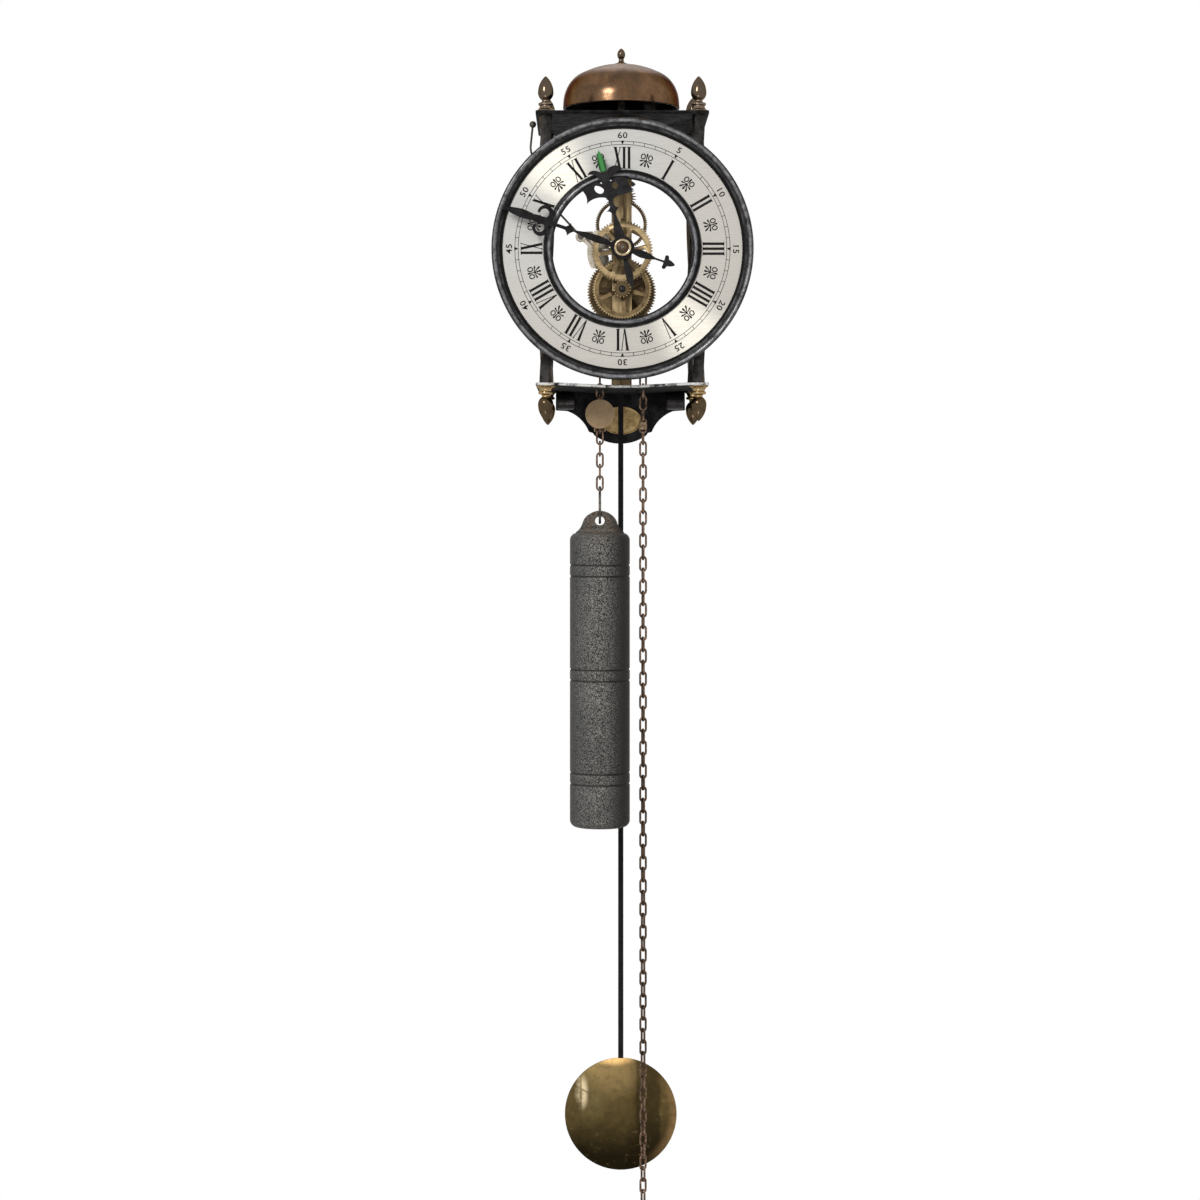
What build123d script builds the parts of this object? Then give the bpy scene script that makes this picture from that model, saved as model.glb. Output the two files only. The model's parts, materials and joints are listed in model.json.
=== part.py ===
from build123d import *
from math import acos, atan2, cos, degrees, pi, radians, sin, sqrt
import os

# Skeleton wall clock with an open wheel train, a bell, a chain-driven weight and a pendulum.
# Millimetres. The origin is the hanging hole on the wall, +Z is up and the dial looks to -Y.
# Depths are counted backwards from the dial's front face, heights from the dial's centre.

os.makedirs("parts", exist_ok=True)

# Place of the dial
wall_depth = 100.0
hook_height = 98.0

# Clearances
run_gap = 0.06
press_gap = 0.01
slide_gap = 0.15
free_gap = 0.3

# Frame
frame_width = 100.0
frame_front = 6.0
frame_back = 98.0
top_plate_height = 78.4
top_plate_thick = 2.0
bottom_plate_height = -76.4
bottom_plate_thick = 1.6
bottom_plate_dip = 1.5
dip_half_width = 37.0
pillar_inset = 5.8
pillar_side = 6.2
pillar_twist = 215.0
pillar_start = 19.0

# Finials
finial_height = 20.4
finial_base_r = 5.6
finial_waist_r = 3.4
finial_bead_r = 4.3
finial_neck_r = 2.35
finial_bulb_r = 4.45
finial_bulb_at = 11.6

# Dial
dial_r = 69.6
dial_hole_r = 44.6
dial_thick = 1.0
bezel_rim = 5.5
bezel_lap = 0.8
bezel_ridge_in = 1.4
bezel_rise = 4.0
bezel_lip = 0.6
bezel_back = 3.6
bead_ring_r = 40.2
bead_ring_rise = 2.2
bead_ring_back = 2.0
bead_flange_r = 45.5
dial_foot_r = 1.8
dial_foot_height = 40.0
bezel_foot_height = 55.5

# Movement bars
bar_width = 11.3
bar_thick = 2.5
front_bar_depth = 22.0
rear_bar_depth = 66.0

# Arbors
arbor_r = 0.8
pivot_r = 0.6
centre_arbor_r = 1.0
great_arbor_r = 1.6

# Going train: teeth, modules and depths
great_teeth = 72
centre_teeth = 72
third_teeth = 72
leaf_count = 8
great_module = 0.55
centre_module = 0.475
third_module = 0.42
great_depth = 36.0
centre_depth = 30.0
third_depth = 49.0
escape_depth = 57.0
escape_teeth = 30
escape_tip_r = 9.0
escape_root_r = 6.9
wheel_thick = 1.6
pinion_over = 1.6
pallet_rise = 12.2

# Motion work
cannon_leaves = 20
minute_teeth = 64
minute_leaves = 16
hour_teeth = 60
hour_wheel_depth = 13.0
minute_wheel_depth = 16.2
motion_thick = 1.4
cannon_wall = 0.9
hour_pipe_wall = 0.8
minute_post_r = 1.0

# Hands
hour_hand_depth = -5.2
minute_hand_depth = -7.4
hand_thick = 1.0
hand_boss_r = 6.0
hour_hand_reach = 57.5
minute_hand_reach = 72.6
minute_angle = 288.8
hour_angle = 346.0
collet_r = 5.0
nut_r = 1.9

# Chain
link_pitch = 6.8
link_wire = 1.2
link_width = 4.8
chain_play = 0.3
chain_depth = 45.0
wrap_links = 12
wrap_slack = 0.5
weight_side_links = 17
free_side_links = 82
joining_link_at = 11
end_ring_r = 5.5
end_ring_wire = 1.6

# Sprocket and click
sprocket_cheek_r = 14.6
sprocket_cheek = 0.8
sprocket_half = 3.4
ratchet_teeth = 24
ratchet_r = 7.6
ratchet_thick = 1.2
ratchet_depth = 39.8

# Weight
weight_r = 17.7
weight_top = -163.6
weight_bottom = -337.0
weight_shoulder = 4.2
weight_groove = 0.4
weight_grooves = [(-189.0, -182.5), (-250.4, -243.9), (-311.3, -304.8)]
weight_lug_half = 13.2
weight_lug_top = -150.4
weight_lug_thick = 5.0
weight_hole_height = -156.4
weight_hole_r = 2.6
hook_wire_r = 0.75

# Stop disc on the chain
stop_disc_r = 8.6
stop_disc_thick = 1.6
stop_disc_height = -93.4

# Pendulum
pendulum_stand = 12.0
rod_width = 3.15
rod_thick = 1.2
bob_r = 33.7
bob_thick = 13.0
bob_edge = 1.6
bob_height = -514.4
rod_top_drop = 5.0
spring_thick = 0.3
spring_width = 4.0
nut_thick = 3.0
rating_nut_r = 4.6
nut_drop = 10.0
thread_r = 0.9
thread_length = 10.0
swing = 2.5

# Bell
bell_depth = 55.0
bell_r = 34.6
bell_lift = 7.8
bell_skirt = 11.6
bell_lean = 13.9
bell_shoulder_r = 14.0
bell_crown_height = 26.5
bell_wall = 1.8
bell_post_r = 2.0
bell_stud_r = 1.0

# Hammer
hammer_side = 17.4
hammer_arbor_drop = 8.4
hammer_arbor_depth = 62.0
hammer_head_r = 4.1
hammer_head_length = 8.0
hammer_head_lift = 5.2
hammer_inset = 17.3
hammer_slot_front = 60.5
hammer_slot_back = 71.0

# Strike lever at the left
boss_side = -24.0
boss_height = 9.0
lever_depth = 18.4
lever_thick = 1.2
lever_wire_r = 0.6
lever_screw_r = 1.1

# Apron behind the bottom plate
apron_front = 96.0
apron_thick = 2.0
apron_drop = 109.7
ear_inset = 10.6
ear_height = -89.4
plaque_half_width = 12.4
plaque_half_height = 8.6
plaque_height = -95.6
plaque_thick = 0.8
roll_r = 5.2
roll_length = 10.4
roll_inset = 16.8

# Wall hanger and wall pads
hanger_half = 14.0
hanger_thick = 2.0
hanger_over = 9.0
hanger_foot = 62.0
hanging_hole_r = 3.5
pad_r = 4.4
pad_inset = 6.4
pad_height = -84.0

# Values worked out from the ones above
pillar_side_x = frame_width / 2 - pillar_inset
front_pillar_depth = frame_front + pillar_inset
rear_pillar_depth = frame_back - pillar_inset
top_face = top_plate_height + top_plate_thick
bell_rim_height = top_face + bell_lift
hammer_arbor_height = top_plate_height - hammer_arbor_drop
hammer_head_height = bell_rim_height + hammer_head_lift
ear_half = frame_width / 2 - ear_inset
roll_side = frame_width / 2 - roll_inset
pad_side = ear_half - pad_inset
hanger_top = hook_height + hanger_over
great_drop = great_module * (great_teeth + leaf_count) / 2
third_rise = centre_module * (centre_teeth + leaf_count) / 2
escape_rise = third_rise + third_module * (third_teeth + leaf_count) / 2
pallet_height = escape_rise + pallet_rise
motion_drop = great_drop
minute_module = 2 * motion_drop / (cannon_leaves + minute_teeth)
hour_module = 2 * motion_drop / (minute_leaves + hour_teeth)
link_inside = link_pitch + chain_play
wrap_r = (link_inside - wrap_slack) / (2 * sin(pi / wrap_links))
strand_side = wrap_r
rear_bar_back = rear_bar_depth + bar_thick
bezel_r = dial_r + bezel_rim
bezel_lip_r = dial_r - bezel_lap
bezel_ridge_r = bezel_r - bezel_ridge_in
pendulum_depth = rear_bar_depth + pendulum_stand
hammer_head_depth = bell_depth + bell_r - hammer_inset
front_bar_back = front_bar_depth + bar_thick

parts = {}


def shape(*points):
    """Flat outline with straight sides through the points."""
    return make_face(Polyline(*points, close=True))


def curved(start, *runs):
    """Flat outline of straight and smooth runs of points that meet at corners."""
    edges = []
    for run in runs:
        edges.append(Line(start, run[0]) if len(run) == 1 else Spline(start, *run))
        start = run[-1]
    return make_face(edges)


def both_sides(half):
    """Outline joined with its mirror image across the y axis."""
    image = [face if face.normal_at().Z > 0 else -face for face in mirror(half, Plane.YZ).faces()]
    return half + image


def dome(radius, base, rise):
    """Arc of a ball from its rim to its pole on the axis."""
    way = 1 if rise > 0 else -1
    ball_r = (radius ** 2 + rise ** 2) / (2 * abs(rise))
    centre = base + rise - way * ball_r
    middle = radius / 2
    top = centre + way * sqrt(ball_r ** 2 - middle ** 2)
    return ThreePointArc((radius, base), (middle, top), (0, base + rise))


def face_plane(depth):
    """Plane at a depth behind the dial's face, x to the right and y up from the dial's centre."""
    return Plane(origin=(0, depth - wall_depth, -hook_height), x_dir=(1, 0, 0), z_dir=(0, -1, 0))


def slab(outline, front, back):
    """Solid between two depths with the outline seen from the front."""
    return extrude(face_plane(back) * outline, back - front)


def rod(radius, front, back, side=0.0, height=0.0, bore=0.0):
    """Round rod that runs front to back."""
    outline = Circle(radius)
    if bore:
        outline -= Circle(bore)
    return slab(Pos(side, height) * outline, front, back)


def turned_deep(profile, side=0.0, height=0.0):
    """Ring turned about a front-to-back axis: the profile is (radius, depth)."""
    base = Plane(origin=(side, -wall_depth, height - hook_height), x_dir=(1, 0, 0), z_dir=(0, 0, 1))
    return revolve(base * profile, Axis(base.origin, (0, 1, 0)))


def turned_up(profile, side=0.0, depth=0.0):
    """Piece turned about an upright axis: the profile is (radius, height)."""
    base = Plane(origin=(side, depth - wall_depth, -hook_height), x_dir=(1, 0, 0), z_dir=(0, -1, 0))
    return revolve(base * profile, Axis(base.origin, (0, 0, 1)))


def block(side_span, depth_span, height_span):
    """Box from its three spans."""
    outline = shape((side_span[0], height_span[0]), (side_span[1], height_span[0]),
                      (side_span[1], height_span[1]), (side_span[0], height_span[1]))
    return slab(outline, depth_span[0], depth_span[1])


def upright_rod(radius, low, high, side, depth):
    """Round rod that runs up and down."""
    base = Plane(origin=(side, depth - wall_depth, low - hook_height), z_dir=(0, 0, 1))
    return extrude(base * Circle(radius), high - low)


def cross_rod(radius, left, right, depth, height):
    """Round rod that runs left to right."""
    base = Plane(origin=(left, depth - wall_depth, height - hook_height), z_dir=(1, 0, 0))
    return extrude(base * Circle(radius), right - left)


def polar(radius, angle):
    """Point at a clock angle in radians, counted from twelve."""
    return (radius * sin(angle), radius * cos(angle))


def gear_outline(teeth, module, phase):
    """Toothed outline with V roots and narrow flat tips; a tooth points at the phase angle."""
    pitch_r = teeth * module / 2
    root_r, tip_r = pitch_r - 1.6 * module, pitch_r + 0.8 * module
    step = 2 * pi / teeth
    tip_half = 0.075 * pi * module / tip_r
    points = []
    for number in range(teeth):
        centre = phase + number * step
        points.append(polar(root_r, centre - step / 2))
        points.append(polar(tip_r, centre - tip_half))
        points.append(polar(tip_r, centre + tip_half))
    return shape(*points)


def crossing(rim_r, hub_r, spokes, first, width):
    """Hub and tapered spokes inside a wheel's rim."""
    outline = Circle(hub_r)
    for number in range(spokes):
        angle = first + 360 / spokes * number
        spoke = shape((-width * 0.6, 0), (width * 0.6, 0), (width * 0.4, rim_r + 0.2),
                        (-width * 0.4, rim_r + 0.2))
        outline += Rot(0, 0, -angle) * spoke
    return outline


def crossed_wheel(teeth, module, phase, rim, hub_r, spokes, first, width, bore):
    """Toothed wheel with a thin rim and spokes."""
    rim_r = teeth * module / 2 - 1.6 * module - rim
    outline = gear_outline(teeth, module, phase) - Circle(rim_r)
    outline += crossing(rim_r, hub_r, spokes, first, width)
    return outline - Circle(bore)


def leaf(low, high, width, widest):
    """Pointed leaf along the y axis, made of two arcs each side."""
    half = width / 2
    edge_low = ThreePointArc((0, low), (half * 0.66, low + (widest - low) * 0.45), (half, widest))
    edge_high = ThreePointArc((half, widest), (half * 0.66, high - (high - widest) * 0.45), (0, high))
    side = make_face([edge_low, edge_high, Line((0, high), (0, low))])
    return both_sides(side)


def add(name, *solids):
    """Put the solids of one node together under its name."""
    pieces = []
    for solid in solids:
        pieces.extend(solid.solids())
    parts[name] = pieces[0] if len(pieces) == 1 else Compound(children=pieces)


# Frame


def bottom_plate_outline():
    """Front view of the bottom plate, which dips between the pillars."""
    low = bottom_plate_height - bottom_plate_thick
    half = frame_width / 2
    dip = dip_half_width
    upper = [Line((-half, bottom_plate_height), (-dip, bottom_plate_height)),
             ThreePointArc((-dip, bottom_plate_height), (0, bottom_plate_height - bottom_plate_dip),
                           (dip, bottom_plate_height)),
             Line((dip, bottom_plate_height), (half, bottom_plate_height))]
    lower = [Line((half, low), (dip, low)),
             ThreePointArc((dip, low), (0, low - bottom_plate_dip), (-dip, low)),
             Line((-dip, low), (-half, low))]
    sides = [Line((half, bottom_plate_height), (half, low)), Line((-half, low), (-half, bottom_plate_height))]
    return make_face(upper + lower + sides)


def bottom_plate():
    """Plate with holes for both chain strands and a slot for the swinging rod."""
    low = bottom_plate_height - bottom_plate_thick - bottom_plate_dip
    plate = slab(bottom_plate_outline(), frame_front, frame_back)
    for side in (-strand_side, strand_side):
        plate -= upright_rod(link_width * 0.95, low - 1, bottom_plate_height + 1, side, chain_depth)
    swing_half = sin(radians(swing)) * (pallet_height - low) + rod_width / 2 + 1.2
    plate -= block((-swing_half, swing_half), (pendulum_depth - 2.2, pendulum_depth + 2.2),
                   (low - 1, bottom_plate_height + 1))
    return plate


def top_plate():
    """Plate with a hole for the bell post and a slot for the hammer's stem."""
    half = frame_width / 2
    plate = block((-half, half), (frame_front, frame_back), (top_plate_height, top_face))
    plate -= upright_rod(bell_post_r + press_gap, top_plate_height - 1, top_face + 1, 0, bell_depth)
    plate -= block((hammer_side - 2.0, hammer_side + 2.0), (hammer_slot_front, hammer_slot_back),
                   (top_plate_height - 1, top_face + 1))
    return plate


def twisted_pillar(side, depth):
    """Square iron bar twisted along its length."""
    length = top_plate_height - bottom_plate_height
    base = Plane(origin=(side, depth - wall_depth, bottom_plate_height - hook_height), z_dir=(0, 0, 1))
    section = base * Rot(0, 0, pillar_start + pillar_twist) * Rectangle(pillar_side, pillar_side)
    rise = Vector(0, 0, length)
    return Solid.extrude_linear_with_rotation(section.face(), base.origin, rise, -pillar_twist)


def finial_profile():
    """Half outline of a finial: flared foot, bead, neck and acorn bulb."""
    foot = ThreePointArc((finial_base_r, 0.5), (finial_waist_r + 0.7, 1.6), (finial_waist_r, 3.3))
    bead = ThreePointArc((finial_waist_r, 3.3), (finial_bead_r, 4.2), (finial_waist_r, 5.1))
    neck = ThreePointArc((finial_waist_r, 5.1), (finial_neck_r, 5.6), (finial_neck_r, 6.6))
    belly = ThreePointArc((finial_neck_r, 6.6), (finial_bulb_r * 0.9, 8.6), (finial_bulb_r, finial_bulb_at))
    crown = ThreePointArc((finial_bulb_r, finial_bulb_at), (finial_bulb_r * 0.6, 17.0), (0.3, finial_height))
    return make_face([Line((0, 0), (finial_base_r, 0)), Line((finial_base_r, 0), (finial_base_r, 0.5)),
                      foot, bead, neck, belly, crown, Line((0.3, finial_height), (0, finial_height)),
                      Line((0, finial_height), (0, 0))])


def finials(height, flip):
    """Four finials over or under the pillars."""
    shape = finial_profile()
    if flip:
        shape = mirror(shape, Plane.XZ)
    made = []
    for depth in (front_pillar_depth, rear_pillar_depth):
        for side in (-pillar_side_x, pillar_side_x):
            made.append(turned_up(Pos(0, height) * shape, side, depth))
    return made


# Dial


def bezel():
    """Outer ring: a recess for the dial, a lip over its edge, a hollow and a round ridge."""
    hollow = ThreePointArc((bezel_lip_r, -bezel_lip), (bezel_lip_r + 2.3, -bezel_lip - 0.5),
                           (bezel_ridge_r - 1.5, -bezel_rise + 1.0))
    ridge = ThreePointArc((bezel_ridge_r - 1.5, -bezel_rise + 1.0), (bezel_ridge_r - 0.1, -bezel_rise),
                          (bezel_r, -bezel_rise + 1.6))
    recess_r = dial_r + slide_gap
    outline = make_face([Line((bezel_lip_r, 0), (bezel_lip_r, -bezel_lip)), hollow, ridge,
                         Line((bezel_r, -bezel_rise + 1.6), (bezel_r, bezel_back)),
                         Line((bezel_r, bezel_back), (recess_r, bezel_back)),
                         Line((recess_r, bezel_back), (recess_r, 0)), Line((recess_r, 0), (bezel_lip_r, 0))])
    return turned_deep(outline)


def bead_ring():
    """Inner ring with a round bead and a flange on the dial's inner edge."""
    seat_r = dial_hole_r - slide_gap
    bead = ThreePointArc((bead_ring_r, -0.6), (bead_ring_r + 1.8, -bead_ring_rise), (bead_ring_r + 3.6, -0.9))
    outline = make_face([Line((bead_ring_r, bead_ring_back), (bead_ring_r, -0.6)), bead,
                         Line((bead_ring_r + 3.6, -0.9), (bead_flange_r, -0.5)),
                         Line((bead_flange_r, -0.5), (bead_flange_r, 0)),
                         Line((bead_flange_r, 0), (seat_r, 0)), Line((seat_r, 0), (seat_r, bead_ring_back)),
                         Line((seat_r, bead_ring_back), (bead_ring_r, bead_ring_back))])
    return turned_deep(outline)


def pillar_posts(height, side, front, pillars):
    """Short posts that run back from the dial or its ring and end on the front pillars."""
    made = []
    for post_height in (-height, height):
        for post_side, pillar in ((-side, pillars[0]), (side, pillars[1])):
            post = rod(dial_foot_r, front, front_pillar_depth, post_side, post_height)
            made.append((post - pillar).solids().sort_by(Axis.Y)[0])
    return made


# Bell


def bell_curve(inset):
    """Points of the bell's outline at a distance inside its outer face."""
    lean = radians(bell_lean)
    out_x, out_z = cos(lean), sin(lean)
    skirt_top = (bell_r - bell_skirt * sin(lean), bell_skirt * cos(lean))
    centre = (skirt_top[0] - bell_shoulder_r * out_x, skirt_top[1] - bell_shoulder_r * out_z)
    drop = centre[1] - bell_crown_height
    crown_r = (bell_shoulder_r ** 2 - centre[0] ** 2 - drop ** 2) / (2 * (drop + bell_shoulder_r))
    crown_centre = bell_crown_height - crown_r
    join = atan2(centre[0], centre[1] - crown_centre)
    side = pi / 2 - lean
    shoulder = [(centre[0] + (bell_shoulder_r - inset) * sin(angle),
                 centre[1] + (bell_shoulder_r - inset) * cos(angle))
                for angle in (side, (side + join) / 2, join)]
    crown = [((crown_r - inset) * sin(angle), crown_centre + (crown_r - inset) * cos(angle))
             for angle in (join, join / 2, 0)]
    rim = (bell_r - inset / out_x, 0)
    return rim, shoulder, crown


def bell():
    """Thin bell with a leaning skirt, a round shoulder and a flat crown."""
    rim, shoulder, crown = bell_curve(0)
    inner_rim, inner_shoulder, inner_crown = bell_curve(bell_wall)
    outline = make_face([Line(rim, shoulder[0]), ThreePointArc(*shoulder),
                         ThreePointArc(shoulder[2], crown[1], crown[2]), Line(crown[2], inner_crown[2]),
                         ThreePointArc(inner_crown[2], inner_crown[1], inner_shoulder[2]),
                         ThreePointArc(*reversed(inner_shoulder)), Line(inner_shoulder[0], inner_rim),
                         Line(inner_rim, rim)])
    shell = turned_up(Pos(0, bell_rim_height) * outline, 0, bell_depth)
    top = bell_rim_height + bell_crown_height
    return shell - upright_rod(bell_stud_r + press_gap, top - 5, top + 2, 0, bell_depth)


def bell_post():
    """Post that carries the bell: a nut under the plate and a collar under the crown."""
    crown_inside = bell_rim_height + bell_crown_height - bell_wall
    post = upright_rod(bell_post_r, top_plate_height - 3.4, crown_inside - 0.2, 0, bell_depth)
    post += upright_rod(bell_stud_r, crown_inside - 0.2, crown_inside + bell_wall + 3.0, 0, bell_depth)
    post += upright_rod(bell_post_r * 2.1, top_plate_height - 2.6, top_plate_height, 0, bell_depth)
    post += upright_rod(bell_post_r * 1.9, top_face, top_face + 3.0, 0, bell_depth)
    post += upright_rod(bell_post_r * 1.9, crown_inside - 2.0, crown_inside - 0.2, 0, bell_depth)
    return post


def bell_nut():
    """Turned nut on top of the bell, ending in a small acorn."""
    base = bell_rim_height + bell_crown_height + 0.05
    foot = ThreePointArc((3.7, 0.6), (1.9, 1.5), (1.5, 3.4))
    bulb = ThreePointArc((1.5, 3.4), (2.35, 5.6), (0.3, 9.6))
    outline = make_face([Line((0, 0), (3.7, 0)), Line((3.7, 0), (3.7, 0.6)), foot, bulb,
                         Line((0.3, 9.6), (0, 9.6)), Line((0, 9.6), (0, 0))])
    nut = turned_up(Pos(0, base) * outline, 0, bell_depth)
    return nut - upright_rod(bell_stud_r + press_gap, base - 1, base + 3.2, 0, bell_depth)


# Wheel train


def bar(depth, holes):
    """Upright movement bar between the plates with its pivot holes."""
    outline = shape((-bar_width / 2, bottom_plate_height - bottom_plate_dip - 1),
                      (bar_width / 2, bottom_plate_height - bottom_plate_dip - 1),
                      (bar_width / 2, top_plate_height), (-bar_width / 2, top_plate_height))
    for height, radius in holes:
        outline -= Pos(0, height) * Circle(radius)
    return slab(outline, depth, depth + bar_thick) - slab(bottom_plate_outline(), frame_front, frame_back)


def arbor(height, radius, front_pivot=pivot_r, back_end=None, front_end=None):
    """Arbor between the bars with thinner pivots in their holes."""
    body = rod(radius, front_bar_back + free_gap, rear_bar_depth - free_gap, 0, height)
    front = front_end if front_end is not None else front_bar_depth + free_gap
    body += rod(front_pivot, front, front_bar_back + free_gap, 0, height)
    if back_end is None:
        body += rod(pivot_r, rear_bar_depth - free_gap, rear_bar_back - free_gap, 0, height)
    else:
        body += rod(arbor_r, rear_bar_depth - free_gap, back_end, 0, height)
    return body


def pinion(leaves, module, front, back, height, bore):
    """Leaf pinion whose gap faces straight up and down."""
    outline = gear_outline(leaves, module, pi / leaves) - Circle(bore)
    return slab(Pos(0, height) * outline, front, back)


def train_pinion(module, wheel_depth, height, bore):
    """Pinion a little longer than the wheel that drives it."""
    front, back = wheel_depth - pinion_over, wheel_depth + wheel_thick + pinion_over
    return pinion(leaf_count, module, front, back, height, bore)


def wheel(outline, depth, height, thick=wheel_thick):
    """Wheel of the train at its depth and height."""
    return slab(Pos(0, height) * outline, depth, depth + thick)


def click_place():
    """Centre of the click's stud on the great wheel."""
    side, up = polar(11.6, radians(60))
    return side, up - great_drop


def great_wheel():
    """Great wheel with the click's stud on its back."""
    outline = crossed_wheel(great_teeth, great_module, 0, 3.0, 5.0, 5, 60, 3.6, great_arbor_r + press_gap)
    side, up = click_place()
    stud = rod(1.0, great_depth + wheel_thick, ratchet_depth + ratchet_thick + 0.2, side, up)
    return wheel(outline, great_depth, -great_drop) + stud


def ratchet_outline():
    """Slanted ratchet teeth."""
    points = []
    for number in range(ratchet_teeth):
        angle = 2 * pi * number / ratchet_teeth
        points.append(polar(ratchet_r, angle))
        points.append(polar(ratchet_r - 1.0, angle + 0.02))
    return shape(*points)


def sprocket():
    """Spiked chain wheel with its ratchet, free to turn on the great arbor."""
    groove, shoulder = 9.4, wrap_r * cos(pi / wrap_links) - link_wire / 2 - free_gap
    front, back = chain_depth - sprocket_half, chain_depth + sprocket_half
    bore = great_arbor_r + run_gap
    outline = shape((bore, ratchet_depth - 0.8), (3.4, ratchet_depth - 0.8), (3.4, front),
                      (sprocket_cheek_r, front), (sprocket_cheek_r, front + sprocket_cheek),
                      (shoulder, front + sprocket_cheek), (shoulder, chain_depth - 0.95),
                      (groove, chain_depth - 0.95), (groove, chain_depth + 0.95),
                      (shoulder, chain_depth + 0.95), (shoulder, back - sprocket_cheek),
                      (sprocket_cheek_r, back - sprocket_cheek), (sprocket_cheek_r, back), (bore, back))
    drum = turned_deep(outline, 0, -great_drop)
    for number in range(wrap_links // 2):
        angle = 45 + number * 720 / wrap_links
        spike = shape((0.75, groove - 0.4), (0.4, wrap_r + 1.0), (-0.4, wrap_r + 1.0), (-0.75, groove - 0.4))
        turned = Pos(0, -great_drop) * Rot(0, 0, -angle) * spike
        drum += slab(turned, chain_depth - 0.7, chain_depth + 0.7)
    ring = ratchet_outline() - Circle(3.2)
    return drum + slab(Pos(0, -great_drop) * ring, ratchet_depth, ratchet_depth + ratchet_thick)


def click():
    """Click on the great wheel, drawn just clear of the ratchet's teeth."""
    side, up = click_place()
    tip = polar(ratchet_r + free_gap, radians(22))
    tip = (tip[0], tip[1] - great_drop)
    arm = shape((side - 1.0, up + 1.2), tip, (tip[0] + 0.9, tip[1] + 1.5), (side + 0.9, up + 1.7))
    outline = Pos(side, up) * Circle(2.0) + arm - Pos(side, up) * Circle(1.0 + run_gap)
    return slab(outline, ratchet_depth, ratchet_depth + ratchet_thick)


def escape_wheel():
    """Escape wheel with slender leaning teeth."""
    points = []
    step = 2 * pi / escape_teeth
    for number in range(escape_teeth):
        angle = number * step
        points.append(polar(escape_root_r, angle - step * 0.36))
        points.append(polar(escape_tip_r, angle - step * 0.02))
        points.append(polar(escape_tip_r, angle + step * 0.06))
        points.append(polar(escape_root_r, angle + step * 0.28))
    rim = escape_root_r - 1.1
    outline = shape(*points) - Circle(rim) + crossing(rim, 2.0, 4, 45, 1.3)
    return wheel(outline - Circle(arbor_r + press_gap), escape_depth, escape_rise, 1.2)


def anchor():
    """Pallets on an arch over the escape wheel, held clear of its tips through the swing."""
    inner = escape_tip_r + 0.6
    arch = Circle(inner + 2.3) - Circle(inner)
    span = shape((0, 0), polar(30, radians(-47)), (0, 40), polar(30, radians(47)))
    outline = Pos(0, escape_rise) * (arch & span) + Pos(0, pallet_height) * Circle(2.3)
    return slab(outline - Pos(0, pallet_height) * Circle(arbor_r + press_gap), escape_depth - 0.2,
                escape_depth + 1.4)


def crutch():
    """Arm behind the rear bar whose fork holds the pendulum rod."""
    front = rear_bar_back + 1.8
    back = front + 1.2
    low = pallet_height - 34.0
    inside = rod_width / 2 + slide_gap
    outline = Pos(0, pallet_height) * Circle(2.6)
    outline += shape((-1.7, pallet_height), (1.7, pallet_height), (1.1, low + 3), (-1.1, low + 3))
    outline += shape((-inside - 1.0, low), (inside + 1.0, low), (inside + 1.0, low + 3.2),
                       (-inside - 1.0, low + 3.2))
    arm = slab(outline - Pos(0, pallet_height) * Circle(arbor_r + press_gap), front, back)
    for side in (-1, 1):
        arm += block(sorted((side * inside, side * (inside + 1.0))), (back, pendulum_depth + 1.6),
                     (low, low + 3.2))
    return arm


# Motion work and hands


def cannon():
    """Cannon pinion: a long pipe on the centre arbor that carries the minute hand."""
    bore, outer = centre_arbor_r + press_gap, centre_arbor_r + cannon_wall
    pipe = rod(outer, minute_hand_depth + hand_thick + 0.05, lever_depth + lever_thick + 0.4, 0, 0, bore)
    nose = rod(outer - 0.4, minute_hand_depth, minute_hand_depth + hand_thick + 0.05, 0, 0, bore)
    return pipe + nose + pinion(cannon_leaves, minute_module, minute_wheel_depth,
                                minute_wheel_depth + motion_thick, 0, bore)


def strike_cam():
    """Snail on the cannon that would lift the strike lever once an hour."""
    low, high = centre_arbor_r + cannon_wall + 0.7, 4.9
    points = [polar(low + (high - low) * number / 20, 2 * pi * number / 21) for number in range(21)]
    outline = shape(*points) - Circle(centre_arbor_r + cannon_wall + press_gap)
    return slab(outline, lever_depth, lever_depth + 1.0)


def hour_wheel():
    """Hour wheel on the pipe that carries the hour hand."""
    bore = centre_arbor_r + cannon_wall + run_gap
    outer = bore + hour_pipe_wall
    outline = crossed_wheel(hour_teeth, hour_module, 0, 2.6, 4.6, 6, 22, 2.4, bore)
    pipe = rod(outer, hour_hand_depth + hand_thick + 0.05, hour_wheel_depth, 0, 0, bore)
    nose = rod(outer - 0.35, hour_hand_depth, hour_hand_depth + hand_thick + 0.05, 0, 0, bore)
    return wheel(outline, hour_wheel_depth, 0, motion_thick) + pipe + nose


def minute_wheel():
    """Minute wheel and its pinion on one sleeve."""
    bore = minute_post_r + run_gap
    outline = crossed_wheel(minute_teeth, minute_module, 0, 2.4, 3.4, 5, 31, 2.4, bore)
    piece = wheel(outline, minute_wheel_depth, -motion_drop, motion_thick)
    front = hour_wheel_depth - 0.6
    return piece + pinion(minute_leaves, hour_module, front, minute_wheel_depth, -motion_drop, bore)


def minute_post():
    """Stud of the minute wheel with a domed head."""
    front = hour_wheel_depth - 0.8
    post = rod(minute_post_r, front - 0.6, front_bar_depth, 0, -motion_drop)
    post += rod(2.6, front_bar_depth - 1.2, front_bar_depth, 0, -motion_drop)
    cap = make_face([Line((0, front), (2.0, front)), dome(2.0, front, -1.3),
                     Line((0, front - 1.3), (0, front))])
    return post + turned_deep(cap, 0, -motion_drop)


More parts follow.
